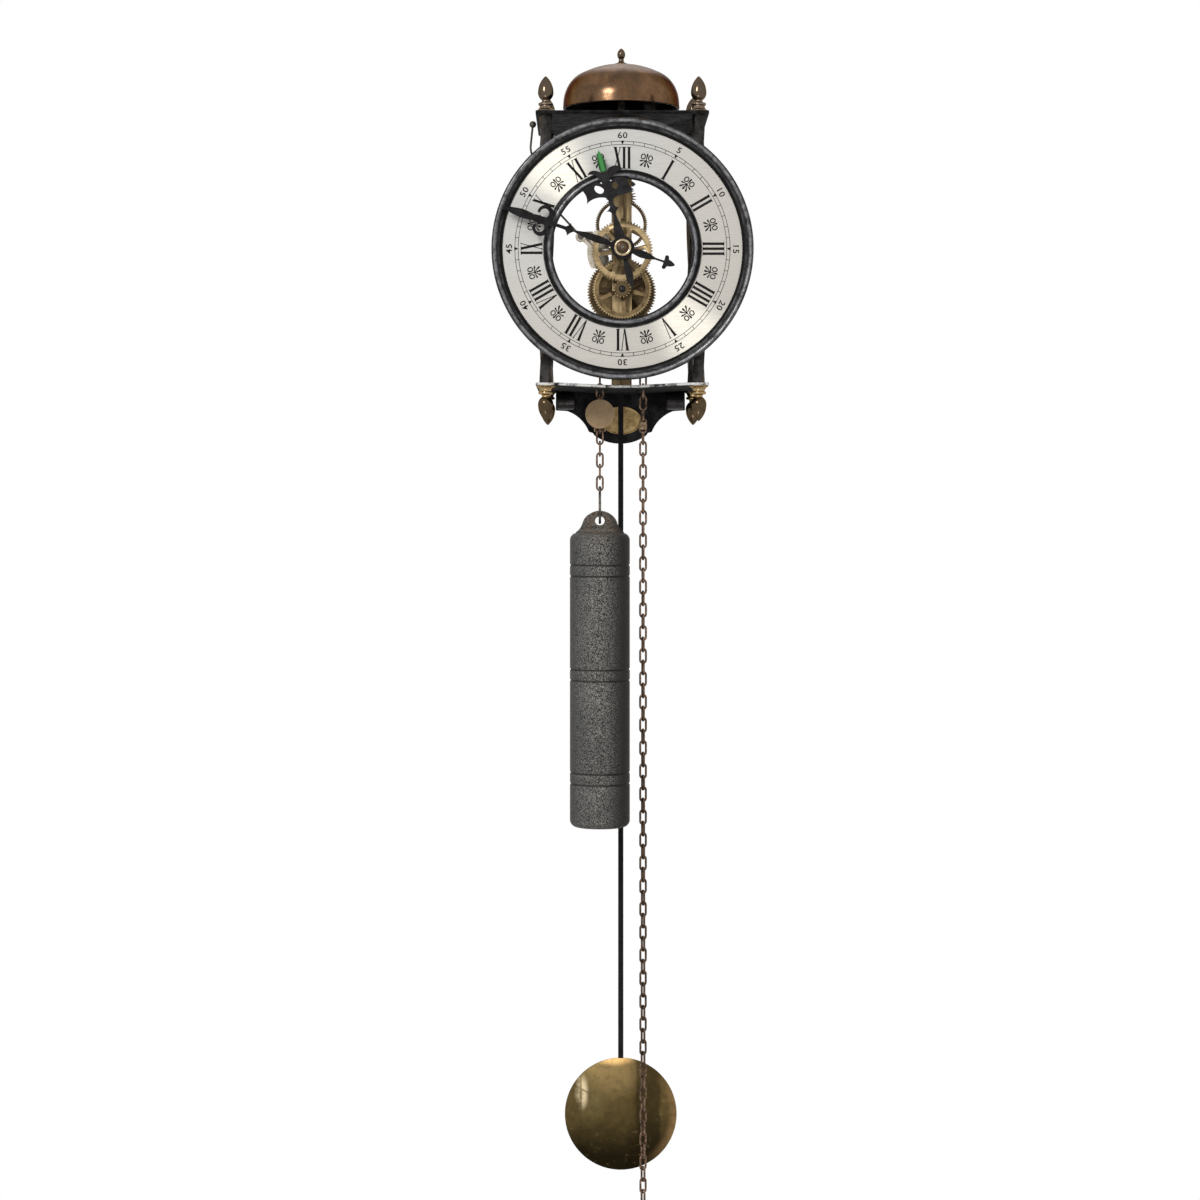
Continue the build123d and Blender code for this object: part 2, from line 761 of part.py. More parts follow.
def scroll(side, height):
    """Hooked ring beside a hand's stem, open towards the point."""
    ring = Pos(side * 4.5, height) * Circle(4.6)
    ring -= Pos(side * 4.3, height + 0.5) * Circle(2.6)
    return ring - shape((side * 3.6, height + 2.4), (side * 3.9, height + 5.6), (side * 1.9, height + 5.6),
                        (side * 1.5, height + 3.0))


def minute_hand():
    """Pierced minute hand: leaf blade, two scrolls, a barbed diamond, a leaf and a trefoil tail."""
    scroll_height = 48.0
    outline = leaf(scroll_height - 1.0, minute_hand_reach, 5.0, 60.5)
    outline += shape((-1.0, 41.5), (1.0, 41.5), (2.2, 44.5), (2.0, 53.5), (-2.0, 53.5), (-2.2, 44.5))
    outline += scroll(-1, scroll_height) + scroll(1, scroll_height)
    outline += Pos(0, 38.0) * Rectangle(1.9, 9.0)
    outline += leaf(4.0, 31.0, 4.3, 15.0)
    right = curved((0, 28.5), [(1.4, 30.6), (3.9, 32.4)], [(1.9, 33.4), (0.8, 35.2)],
                   [(0, 35.6)], [(0, 28.5)])
    outline += both_sides(right)
    outline += leaf(-21.0, -3.0, 4.3, -11.5) + Pos(0, -21.5) * Rectangle(1.1, 6.0)
    outline += Pos(-2.9, -25.8) * Circle(1.15) + Pos(2.9, -25.8) * Circle(1.15)
    outline += shape((-3.2, -24.8), (3.2, -24.8), (3.2, -26.8), (1.5, -27.6), (-1.5, -27.6), (-3.2, -26.8))
    outline += leaf(-31.6, -24.0, 3.8, -27.6)
    return outline + Circle(hand_boss_r - 0.6)


def hour_hand_left():
    """Left edge of the hour hand from its point down to the hub, with the scroll leaf and the wing."""
    return [[(-1.6, 53.6), (-2.2, 48.6), (-1.6, 44.6)],
            [(-3.4, 46.0), (-6.2, 46.9), (-9.4, 45.1)],
            [(-7.2, 45.0), (-4.6, 43.4), (-3.1, 40.9), (-2.6, 38.0)],
            [(-5.8, 40.2), (-9.2, 39.6), (-14.7, 37.7)],
            [(-13.3, 34.6), (-13.1, 31.4), (-13.9, 29.2)],
            [(-11.2, 30.6), (-7.0, 31.2), (-2.6, 30.2)],
            [(-1.3, 28.0), (-1.2, 25.0), (-3.9, 22.4)],
            [(-1.9, 21.6), (-0.8, 20.0)],
            [(-1.6, 15.0), (-2.8, 8.0), (-2.7, 4.0)]]


def hour_hand_right():
    """Right edge of the hour hand from the hub up to its point."""
    return [[(2.8, 8.0), (1.9, 14.0), (1.0, 20.0)],
            [(1.9, 21.6), (3.9, 22.9)],
            [(1.4, 25.0), (1.3, 27.0), (1.9, 28.6)],
            [(4.6, 29.6), (8.0, 29.7), (14.3, 31.2)],
            [(12.4, 33.4), (12.6, 37.3)],
            [(9.2, 39.6), (5.6, 39.9), (2.4, 38.4)],
            [(3.4, 41.3), (6.6, 42.9), (10.7, 44.0)],
            [(8.6, 46.3), (5.0, 46.8), (1.4, 44.4)],
            [(2.2, 48.6), (1.6, 53.6), (0, hour_hand_reach)]]


def hour_hand():
    """Pierced hour hand: spear point, two scroll leaves, a two-lobed wing, barbs and a leaf tail."""
    outline = curved((0, hour_hand_reach), *hour_hand_left(), [(2.7, 4.0)], *hour_hand_right())
    outline -= curved((-6.6, 38.2), [(-3.9, 37.0), (-2.3, 34.9)], [(-4.3, 33.0), (-7.0, 34.8), (-6.6, 38.2)])
    outline -= Pos(4.5, 35.8) * Rot(0, 0, 20) * Ellipse(1.8, 1.9)
    outline += leaf(-23.5, -3.0, 4.4, -16.0)
    return outline + Circle(hand_boss_r)


def hand(outline, depth, angle, bore):
    """Hand turned to its hour and cut for its pipe."""
    return slab(Rot(0, 0, -angle) * outline - Circle(bore), depth, depth + hand_thick)


def collet():
    """Domed brass washer over the minute hand."""
    back = minute_hand_depth - 0.05
    edge = ThreePointArc((collet_r, back), (collet_r - 0.4, back - 1.1), (collet_r - 1.5, back - 1.4))
    outline = make_face([Line((centre_arbor_r + press_gap, back), (collet_r, back)), edge,
                         Line((collet_r - 1.5, back - 1.4), (collet_r - 1.9, back - 0.8)),
                         Line((collet_r - 1.9, back - 0.8), (centre_arbor_r + press_gap, back - 0.8)),
                         Line((centre_arbor_r + press_gap, back - 0.8), (centre_arbor_r + press_gap, back))])
    return turned_deep(outline)


def hand_nut():
    """Small round nut on the end of the centre arbor."""
    back = minute_hand_depth - 0.9
    return rod(nut_r, back - 1.6, back, 0, 0, centre_arbor_r + press_gap)


# Chain


def chain_link(filled=False):
    """Link along the z axis, seen face on from the front, centred on the origin."""
    half = link_width / 2
    end = link_inside / 2 + link_wire
    cut = link_wire * 1.1
    outline = shape((half, end - cut), (half - cut, end), (cut - half, end), (-half, end - cut),
                    (-half, cut - end), (cut - half, -end), (half - cut, -end), (half, cut - end))
    window = Rectangle(link_width - 2 * link_wire, link_inside)
    if filled:
        window -= Rectangle(link_width, link_inside - 2.6 * link_wire)
    return extrude(Plane.XZ * (outline - window), link_wire / 2, both=True)


def strand(side, count, face_first, skip=None):
    """Hanging links below the sprocket, each turned a quarter from the last."""
    made = []
    for number in range(count):
        if number == skip:
            continue
        height = -great_drop - link_pitch * (number + 0.5) - hook_height
        quarter = 0 if (number % 2 == 0) == face_first else 90
        made.append(Pos(side, chain_depth - wall_depth, height) * Rot(0, 0, quarter) * chain_link())
    return made


def wrapped_links():
    """Links that lie on the upper half of the sprocket."""
    made = []
    apothem = wrap_r * cos(pi / wrap_links)
    centre = Pos(0, chain_depth - wall_depth, -great_drop - hook_height)
    for number in range(wrap_links // 2):
        angle = 180 / wrap_links + 360 / wrap_links * number
        quarter = 0 if number % 2 == 0 else 90
        made.append(centre * Rot(0, -angle, 0) * Pos(apothem, 0, 0) * Rot(0, 0, quarter) * chain_link())
    return made


def joining_link():
    """Brass link with a closed sleeve that joins the two ends of the chain."""
    height = -great_drop - link_pitch * (joining_link_at + 0.5) - hook_height
    return Pos(strand_side, chain_depth - wall_depth, height) * chain_link(filled=True)


def chain_end_ring():
    """Ring through the lowest link of the free side."""
    bow_top = -great_drop - link_pitch * (free_side_links - 0.5) - link_inside / 2
    height = bow_top + 0.1 + end_ring_wire / 2 - end_ring_r
    base = Plane(origin=(strand_side, chain_depth - wall_depth, height - hook_height), z_dir=(1, 0, 0))
    return base * Torus(end_ring_r, end_ring_wire / 2)


def stop_disc():
    """Disc in front of the weight's strand with a clip round one link."""
    reach = link_width / 2 + 0.3
    front = chain_depth - reach - stop_disc_thick
    clip_back = chain_depth + reach
    disc = rod(stop_disc_r, front, front + stop_disc_thick, -strand_side, stop_disc_height)
    low, high = stop_disc_height - 10.2, stop_disc_height - 3.0
    for side in (-1, 1):
        span = sorted((-strand_side + side * reach, -strand_side + side * (reach + 0.7)))
        disc += block(span, (front + stop_disc_thick / 2, clip_back + 0.7), (low, high))
    span = (-strand_side - reach - 0.7, -strand_side + reach + 0.7)
    return disc + block(span, (clip_back, clip_back + 0.7), (low, high))


# Weight


def weight_body():
    """Cast weight with three pairs of grooves, rounded shoulders and a pierced lug."""
    inner = weight_r - weight_shoulder
    turn = weight_shoulder * 0.29
    top = ThreePointArc((weight_r, weight_top - weight_shoulder), (weight_r - turn, weight_top - turn),
                        (inner, weight_top))
    end = ThreePointArc((inner, weight_bottom), (weight_r - turn, weight_bottom + turn),
                        (weight_r, weight_bottom + weight_shoulder))
    outline = make_face([Line((0, weight_bottom), (inner, weight_bottom)), end, Line(end @ 1, top @ 0),
                         top, Line((inner, weight_top), (0, weight_top)),
                         Line((0, weight_top), (0, weight_bottom))])
    for height in [level for pair in weight_grooves for level in pair]:
        outline -= shape((weight_r + 1, height - 0.8), (weight_r + 1, height + 0.8),
                         (weight_r - weight_groove, height + 0.2), (weight_r - weight_groove, height - 0.2))
    body = turned_up(outline, -strand_side, chain_depth)
    half = weight_lug_thick / 2
    return body + slab(Pos(-strand_side, 0) * weight_lug(), chain_depth - half, chain_depth + half)


def weight_lug():
    """Round-headed plate that flares into the weight's shoulders."""
    low = weight_top + 0.4
    right = curved((0, weight_lug_top),
                   [(3.2, weight_lug_top - 0.6), (7.6, weight_lug_top - 3.6), (9.6, -158.0)],
                   [(10.8, -160.6), (weight_lug_half, low)], [(weight_lug_half, weight_top - 0.5)],
                   [(0, weight_top - 0.5)], [(0, weight_lug_top)])
    return both_sides(right) - Pos(0, weight_hole_height) * Circle(weight_hole_r)


def weight_hook():
    """Bent wire: an eye round the last link and an open hook through the weight's lug."""
    last_bow = -great_drop - link_pitch * (weight_side_links - 0.5) - link_inside / 2 - link_wire / 2
    eye_r, bend_r, sway_r = 1.75, weight_lug_thick / 2 + 0.95, 6.0
    turn_at = weight_hole_height - weight_hole_r + hook_wire_r + 0.65 + bend_r
    sway = degrees(acos(1 - (bend_r - eye_r) / (2 * sway_r)))
    sway_rise = 2 * sway_r * sin(radians(sway))
    free_leg = Line((-bend_r, turn_at + 8.6), (-bend_r, turn_at))
    bend = JernArc((-bend_r, turn_at), (0, -1), bend_r, 180)
    leg = Line((bend_r, turn_at), (bend_r, last_bow - sway_rise))
    sway_out = JernArc(leg @ 1, (0, 1), sway_r, sway)
    sway_back = JernArc(sway_out @ 1, sway_out % 1, sway_r, -sway)
    eye = JernArc(sway_back @ 1, (0, 1), eye_r, 300)
    path = Wire([free_leg.edge(), bend.edge(), leg.edge(), sway_out.edge(), sway_back.edge(), eye.edge()])
    corner = (-strand_side, chain_depth - wall_depth, -hook_height)
    base = Plane(origin=corner, x_dir=(0, 1, 0), z_dir=(1, 0, 0))
    route = base * path
    return sweep(Plane(route @ 0, z_dir=route % 0) * Circle(hook_wire_r), route)


# Pendulum


def suspension_cock():
    """Bracket under the top plate with the slot that holds the suspension spring."""
    low = pallet_height - 2.0
    arm = block((-4.5, 4.5), (pendulum_depth - 3.6, pendulum_depth + 3.6), (low, top_plate_height))
    gap = spring_thick / 2 + free_gap
    half = spring_width / 2 + 0.2
    return arm - block((-gap, gap), (pendulum_depth - half, pendulum_depth + half),
                       (low - 1, pallet_height + 5.4))


def suspension_spring():
    """Thin steel strip between the cock and the rod's end block."""
    half = spring_width / 2
    return block((-spring_thick / 2, spring_thick / 2), (pendulum_depth - half, pendulum_depth + half),
                 (pallet_height - rod_top_drop - 4.0, pallet_height + 4.8))


def rod_end_block():
    """Brass block that grips the spring and the top of the rod."""
    high = pallet_height - rod_top_drop
    piece = block((-2.8, 2.8), (pendulum_depth - 2.6, pendulum_depth + 2.6), (high - 10.0, high))
    gap = spring_thick / 2 + press_gap
    half = spring_width / 2 + 0.1
    piece -= block((-gap, gap), (pendulum_depth - half, pendulum_depth + half), (high - 4.1, high + 1))
    return piece


def pendulum_rod():
    """Flat rod from the end block down into the bob, with a threaded end for the nut."""
    high = pallet_height - rod_top_drop - 10.0
    low = bob_height - nut_drop + 2.0
    half_wide, half_thick = rod_width / 2, rod_thick / 2
    flat = block((-half_wide, half_wide),
                 (pendulum_depth - half_thick, pendulum_depth + half_thick), (low, high))
    return flat + upright_rod(thread_r, low - thread_length, low + 0.5, 0, pendulum_depth)


def bob():
    """Polished lens of brass with a slot for the rod and a window for the nut in its back."""
    edge, half = bob_edge / 2, bob_thick / 2
    outline = make_face([dome(bob_r, pendulum_depth - edge, edge - half),
                         Line((bob_r, pendulum_depth - edge), (bob_r, pendulum_depth + edge)),
                         dome(bob_r, pendulum_depth + edge, half - edge),
                         Line((0, pendulum_depth + half), (0, pendulum_depth - half))])
    lens = turned_deep(outline, 0, bob_height)
    half_wide = rod_width / 2 + press_gap
    half_thick = rod_thick / 2 + press_gap
    slot_low = bob_height - nut_drop + 2.0 - slide_gap
    lens -= block((-half_wide, half_wide), (pendulum_depth - half_thick, pendulum_depth + half_thick),
                  (slot_low, bob_height + bob_r + 2))
    lens -= upright_rod(thread_r + slide_gap, slot_low - thread_length, slot_low + 1, 0, pendulum_depth)
    window_half = rating_nut_r + free_gap
    window_high = bob_height - nut_drop + run_gap
    return lens - block((-window_half, window_half),
                        (pendulum_depth - rating_nut_r - free_gap, pendulum_depth + half + 1),
                        (window_high - nut_thick - 2 * free_gap, window_high))


def rating_nut():
    """Nut in the window in the bob's back that sets the rate."""
    top = bob_height - nut_drop
    nut = upright_rod(rating_nut_r, top - nut_thick, top, 0, pendulum_depth)
    return nut - upright_rod(thread_r + run_gap, top - nut_thick - 1, top + 1, 0, pendulum_depth)


# Hammer and strike lever


def hammer():
    """Arbor, slanted stem and round head that strikes the bell's back wall, with a tail."""
    spot = (hammer_arbor_depth, hammer_arbor_height)
    arbor_piece = cross_rod(1.2, hammer_side - 8.4, hammer_side + 8.4, *spot)
    hub = cross_rod(2.4, hammer_side - 2.0, hammer_side + 2.0, *spot)
    foot = Vector(hammer_side, hammer_arbor_depth - wall_depth, hammer_arbor_height - hook_height)
    top = Vector(hammer_side, hammer_head_depth - wall_depth, hammer_head_height - hook_height)
    stem = extrude(Plane(foot, z_dir=top - foot) * Circle(0.9), (top - foot).length)
    head = rod(hammer_head_r, hammer_head_depth - hammer_head_length / 2,
               hammer_head_depth + hammer_head_length / 2, hammer_side, hammer_head_height)
    tail = rod(0.8, hammer_arbor_depth - 12, hammer_arbor_depth, hammer_side - 1.2, hammer_arbor_height)
    return arbor_piece + hub + stem + head + tail


def hammer_bracket():
    """Two ears under the top plate that carry the hammer's arbor."""
    ears = []
    for side in (hammer_side - 7.4, hammer_side + 5.8):
        ear = block((side, side + 1.6), (hammer_arbor_depth - 3.5, hammer_arbor_depth + 3.5),
                    (hammer_arbor_height - 3.5, top_plate_height - 1.2))
        ears.append(ear)
    deep = (hammer_arbor_depth - 3.5, hammer_arbor_depth + 3.5)
    high = (top_plate_height - 1.4, top_plate_height)
    bridge = block((hammer_side - 7.4, hammer_side - 3.2), deep, high)
    bridge_right = block((hammer_side + 3.2, hammer_side + 7.4), deep, high)
    bore = cross_rod(1.2 + run_gap, hammer_side - 9, hammer_side + 9, hammer_arbor_depth, hammer_arbor_height)
    return [(ears[0] + bridge) - bore, (ears[1] + bridge_right) - bore]


def strike_lever():
    """Pale lever on the left screw: a broad plate behind the hour wheel, a pin and a long wire."""
    hub = Pos(boss_side, boss_height) * Circle(2.9)
    window = shape((-21, 12.4), (-7.6, 12.4), (-7.6, -9.5), (-21, -9.5))
    plate = (Circle(20.2) - Circle(8.4)) & window
    neck = shape((boss_side + 1, boss_height + 2.7), (-17, 11.8), (-18.6, 2.0),
                 (boss_side + 1, boss_height - 2.7))
    outline = hub + plate + neck - Pos(boss_side, boss_height) * Circle(lever_screw_r + run_gap)
    piece = slab(outline, lever_depth, lever_depth + lever_thick)
    collar = Pos(boss_side, boss_height) * (Circle(2.9) - Circle(lever_screw_r + run_gap))
    piece += slab(collar, lever_depth - 0.5, lever_depth + lever_thick + 0.4)
    piece += cross_rod(0.9, -14.0, -6.9, lever_depth - 0.3, 0.9)
    route = FilletPolyline((boss_side - 2.0, boss_height + 2.2), (-36.0, 22.0), (-50.0, 46.0), (-53.2, 60.0),
                           (-51.8, 74.0), radius=9.0)
    route = face_plane(lever_depth + 0.7) * route
    wire = sweep(Plane(route @ 0, z_dir=route % 0) * Circle(lever_wire_r), route)
    knob = Pos(*(route @ 1)) * Sphere(2.0)
    return piece + wire + knob


def lever_cock():
    """Arm on the front bar that reaches left to the strike lever's screw."""
    back = front_bar_depth
    front = back - 1.5
    outline = Pos(boss_side, boss_height) * Circle(3.0)
    outline += shape((boss_side, boss_height - 2.4), (bar_width / 2, boss_height - 2.4),
                       (bar_width / 2, boss_height + 2.4), (boss_side, boss_height + 2.4))
    return slab(outline, front, back)


def lever_screw():
    """Shouldered screw that the strike lever turns on."""
    shank = rod(lever_screw_r, lever_depth - 1.0, front_bar_depth - 1.5, boss_side, boss_height)
    return shank + rod(1.7, lever_depth - 1.6, lever_depth - 0.6, boss_side, boss_height)


# Apron, wall hanger and pads


def apron():
    """Black shield behind the bottom plate with concave flanks and a rounded end."""
    top = bottom_plate_height - bottom_plate_thick
    flank_low = -102.6
    step = -104.4
    right = make_face([
        Line((0, top), (ear_half, top)), Line((ear_half, top), (ear_half, ear_height)),
        Line((ear_half, ear_height), (ear_half - 6.9, ear_height - 0.4)),
        ThreePointArc((ear_half - 6.9, ear_height - 0.4), (ear_half - 14.2, ear_height - 4.6),
                      (19.2, flank_low)),
        Line((19.2, flank_low), (16.6, flank_low - 0.6)), Line((16.6, flank_low - 0.6), (16.2, step)),
        ThreePointArc((16.2, step), (8.6, -apron_drop + 1.3), (0, -apron_drop)),
        Line((0, -apron_drop), (0, top))])
    plate = slab(both_sides(right), apron_front, apron_front + apron_thick)
    return plate - slab(bottom_plate_outline(), frame_front, frame_back)


def apron_rolls():
    """Two rolled lugs in the corners between the bottom plate and the apron."""
    inner = roll_side - roll_length / 2
    dip = bottom_plate_dip * (1 - (inner / dip_half_width) ** 2)
    height = bottom_plate_height - bottom_plate_thick - dip - roll_r - 0.05
    depth = apron_front - roll_r - 0.05
    made = []
    for side in (-roll_side, roll_side):
        made.append(cross_rod(roll_r, side - roll_length / 2, side + roll_length / 2, depth, height))
    return made


def plaque():
    """Plain oval brass plate on the apron."""
    return slab(Pos(0.6, plaque_height) * Ellipse(plaque_half_width, plaque_half_height),
                apron_front - plaque_thick, apron_front)


def wall_hanger():
    """Strap behind the top plate with the hole that hangs on the wall's hook."""
    half = hanger_half
    outline = shape((-half, hanger_foot), (half, hanger_foot), (half, top_face + 4), (half * 0.6, hanger_top),
                      (-half * 0.6, hanger_top), (-half, top_face + 4))
    outline -= Pos(0, hook_height) * Circle(hanging_hole_r)
    return slab(outline, wall_depth - hanger_thick, wall_depth)


def wall_pads():
    """Two round pads that keep the apron off the wall."""
    front = apron_front + apron_thick
    return [rod(pad_r, front, wall_depth, side, pad_height) for side in (-pad_side, pad_side)]


# Nodes


def build_frame():
    """Plates, pillars, finials, bars and all that stays put on them."""
    pillars = [twisted_pillar(side, depth) for depth in (front_pillar_depth, rear_pillar_depth)
               for side in (-pillar_side_x, pillar_side_x)]
    add("bottom_plate", bottom_plate())
    add("top_plate", top_plate())
    add("pillars", *pillars)
    add("finials_top", *finials(top_face, False))
    add("finials_bottom", *finials(bottom_plate_height - bottom_plate_thick, True))
    add("dial", slab(Circle(dial_r) - Circle(dial_hole_r), 0, dial_thick),
        *pillar_posts(dial_foot_height, pillar_side_x, dial_thick, pillars))
    add("bezel", bezel(), *pillar_posts(bezel_foot_height, pillar_side_x, bezel_back, pillars))
    add("bead_ring", bead_ring())
    pivot_hole = pivot_r + run_gap
    train = [(-great_drop, pivot_hole), (third_rise, pivot_hole), (escape_rise, pivot_hole)]
    front_holes = train + [(0, centre_arbor_r + run_gap), (pallet_height, pivot_hole)]
    add("front_bar", bar(front_bar_depth, front_holes))
    add("rear_bar", bar(rear_bar_depth, train + [(0, pivot_hole), (pallet_height, arbor_r + run_gap)]))
    add("minute_post", minute_post())
    add("apron", apron())
    add("plaque", plaque())
    add("apron_rolls", *apron_rolls())
    add("wall_hanger", wall_hanger())
    add("wall_pads", *wall_pads())


def build_bell():
    """Bell on its post with the hammer below it."""
    add("bell", bell())
    add("bell_post", bell_post())
    add("bell_nut", bell_nut())
    add("hammer_bracket", *hammer_bracket())
    add("hammer", hammer())


def build_train():
    """Arbors, wheels and pinions between the bars."""
    centre = arbor(0, centre_arbor_r, centre_arbor_r, front_end=minute_hand_depth - 2.8)
    add("centre_arbor", centre, train_pinion(great_module, great_depth, 0, centre_arbor_r + press_gap))
    centre_outline = crossed_wheel(centre_teeth, centre_module, 0, 1.6, 2.8, 5, 0, 2.2,
                                   centre_arbor_r + press_gap)
    add("centre_wheel", wheel(centre_outline, centre_depth, 0))
    add("great_arbor", arbor(-great_drop, great_arbor_r))
    add("great_wheel", great_wheel())
    add("click", click())
    add("third_arbor", arbor(third_rise, arbor_r),
        train_pinion(centre_module, centre_depth, third_rise, arbor_r + press_gap))
    third_outline = crossed_wheel(third_teeth, third_module, 0, 1.3, 2.6, 3, 0, 2.0, arbor_r + press_gap)
    add("third_wheel", wheel(third_outline, third_depth, third_rise))
    add("escape_arbor", arbor(escape_rise, arbor_r),
        train_pinion(third_module, third_depth, escape_rise, arbor_r + press_gap))
    add("escape_wheel", escape_wheel())
    add("pallet_arbor", arbor(pallet_height, arbor_r, back_end=rear_bar_back + 3.4))
    add("pallets", anchor())
    add("crutch", crutch())


def build_dial_work():
    """Wheels under the dial and both hands."""
    pipe_r = centre_arbor_r + cannon_wall
    add("cannon_pinion", cannon())
    add("strike_cam", strike_cam())
    add("hour_wheel", hour_wheel())
    add("minute_wheel", minute_wheel())
    add("hour_hand", hand(hour_hand(), hour_hand_depth, hour_angle,
                          pipe_r + run_gap + hour_pipe_wall - 0.35 + press_gap))
    add("minute_hand", hand(minute_hand(), minute_hand_depth, minute_angle, pipe_r - 0.4 + press_gap))
    add("hand_collet", collet())
    add("hand_nut", hand_nut())


def build_chain():
    """Sprocket, chain, disc and weight."""
    add("sprocket", sprocket())
    add("chain_on_sprocket", *wrapped_links())
    add("chain_weight_side", *strand(-strand_side, weight_side_links, True))
    add("chain_free_side", *strand(strand_side, free_side_links, False, joining_link_at))
    add("joining_link", joining_link())
    add("chain_end_ring", chain_end_ring())
    add("stop_disc", stop_disc())
    add("weight_hook", weight_hook())
    add("weight", weight_body())


def build_pendulum():
    """Spring, rod, bob and nut."""
    add("suspension_cock", suspension_cock())
    add("suspension_spring", suspension_spring())
    add("rod_end_block", rod_end_block())
    add("pendulum_rod", pendulum_rod())
    add("bob", bob())
    add("rating_nut", rating_nut())


def build_lever():
    """Strike lever with its arm and screw."""
    add("strike_lever", strike_lever())
    add("lever_cock", lever_cock())
    add("lever_screw", lever_screw())


build_frame()
build_bell()
build_train()
build_dial_work()
build_chain()
build_pendulum()
build_lever()
for name, solid in parts.items():
    export_step(solid, f"parts/{name}.step")
print(len(parts), "nodes")
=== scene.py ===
# %% [markdown]
# Skeleton wall clock, dressed for rendering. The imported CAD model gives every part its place, so
# this lesson starts by loading it. Each step then takes one part of the clock, says what it is on
# the real object, and gives it a finer shape or a finish with depth and wear.

# %% Load the frame
import bpy
import bmesh
import json
from math import atan2, cos, pi, radians, sin, sqrt
from mathutils import Matrix, Vector


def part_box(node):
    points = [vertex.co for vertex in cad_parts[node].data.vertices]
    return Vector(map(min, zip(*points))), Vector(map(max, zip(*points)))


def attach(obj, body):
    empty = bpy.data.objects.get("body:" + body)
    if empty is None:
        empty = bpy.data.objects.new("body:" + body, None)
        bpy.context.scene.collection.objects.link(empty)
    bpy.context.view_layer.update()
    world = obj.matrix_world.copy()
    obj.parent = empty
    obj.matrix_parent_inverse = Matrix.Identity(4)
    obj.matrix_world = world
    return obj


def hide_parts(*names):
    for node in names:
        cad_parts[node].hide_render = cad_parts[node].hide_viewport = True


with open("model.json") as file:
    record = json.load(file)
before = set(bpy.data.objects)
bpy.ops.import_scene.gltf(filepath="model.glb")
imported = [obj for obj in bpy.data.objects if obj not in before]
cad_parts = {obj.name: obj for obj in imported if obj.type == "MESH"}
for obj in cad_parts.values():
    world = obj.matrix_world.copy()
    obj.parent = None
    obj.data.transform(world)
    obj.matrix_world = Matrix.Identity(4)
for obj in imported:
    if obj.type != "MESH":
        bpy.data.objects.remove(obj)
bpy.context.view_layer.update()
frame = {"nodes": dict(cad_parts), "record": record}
print("parts in the frame:", len(frame["nodes"]))

# %% [markdown]
# Everything is in metres, but a clock's parts are thought of in millimetres. The dial's centre and
# its front face are where the maker measures from, so a helper turns "millimetres right of the
# centre, behind the dial, above the centre" into the scene's own coordinates.

# %% Units and the dial's centre
mm = 0.001
dial_low, dial_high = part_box("dial")
dial_height = (dial_low[2] + dial_high[2]) / 2
dial_face = dial_low[1]


def place(side, depth, height):
    """Point in the scene from millimetres right of, behind and above the dial's centre."""
    return Vector((side * mm, dial_face + depth * mm, dial_height + height * mm))


print("dial centre:", [round(value, 4) for value in place(0, 0, 0)])

# %% [markdown]
# A few measures are used by several parts and by their finishes, so they are written down once:
# how far out the pillars stand, and where the bell, the great wheel, the weight and the bob are.

# %% Measures that parts share
pillar_side = 44.2
bottom_face = -78.0
top_face = (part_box("top_plate")[1][2] - dial_height) / mm
bell_r, bell_depth, rim_height = 34.6, 55.0, 88.2
great_drop = 22.0
weight_side, chain_depth = -12.75, 45.0
bob_depth, bob_height = 78.0, -514.4
print("the plates are", round(top_face - bottom_face, 1), "mm apart, outside to outside")

# %% [markdown]
# The photograph was taken almost straight on with a long lens, level with a point below the dial,
# so upright edges stay upright. Parts at the back sit a little left of those in front, which puts
# the camera left of the clock. Turning the camera towards the clock would make upright edges lean,
# so it stays square to the dial, and a lens shift frames the clock instead.

# %% Camera
photo_size = 1200
camera_side, camera_height, camera_distance = -20.0, -144.1, 1491


def linked(name, data):
    """New object in the scene for a camera, light, mesh or text."""
    thing = bpy.data.objects.new(name, data)
    bpy.context.collection.objects.link(thing)
    return thing


camera_data = bpy.data.cameras.new("photo_camera")
camera_data.sensor_width = 36.0
camera_data.lens = 78.0
camera_data.shift_x = 12.4 / photo_size
camera_data.shift_y = -100 / photo_size
camera = linked("photo_camera", camera_data)
camera.location = place(camera_side, 0, camera_height) - Vector((0, camera_distance * mm, 0))
camera.rotation_euler = (radians(90), 0, 0)
bpy.context.scene.camera = camera
print("camera at", [round(value, 3) for value in camera.location])

# %% [markdown]
# A finish is a network of shader nodes. It could be wired by hand, but a long one is easier to
# read as a formula. A small class wraps a node's output, so that plus, minus and times build the
# Math nodes for it.

# %% Shader maths


class Value:
    """A number that flows through the shader, with the usual operators."""

    def __init__(self, paint, socket):
        self.paint = paint
        self.socket = socket

    def math(self, operation, *others):
        return self.paint.add("ShaderNodeMath", {"operation": operation}, self, *others)

    def __add__(self, other):
        return self.math("ADD", other)

    __radd__ = __add__

    def __mul__(self, other):
        return self.math("MULTIPLY", other)

    __rmul__ = __mul__

    def __sub__(self, other):
        return self.math("SUBTRACT", other)

    def __rsub__(self, other):
        return self.paint.add("ShaderNodeMath", {"operation": "SUBTRACT"}, other, self)

    def step(self, low, high):
        """Zero below low, one above high, and smooth between."""
        return self.paint.add("ShaderNodeMapRange", {"interpolation_type": "SMOOTHSTEP"},
                              self, low, high)


print("numbers can be added, subtracted and multiplied")

# %% [markdown]
# A second small class holds one material. One of its methods adds any node and feeds its sockets,
# and a few more are short names for what every finish needs: noise, a mix of two colours, a bump,
# and the shader at the end. All of them read the object's own coordinates, so that a finish stays
# put when the part moves.

# %% Materials


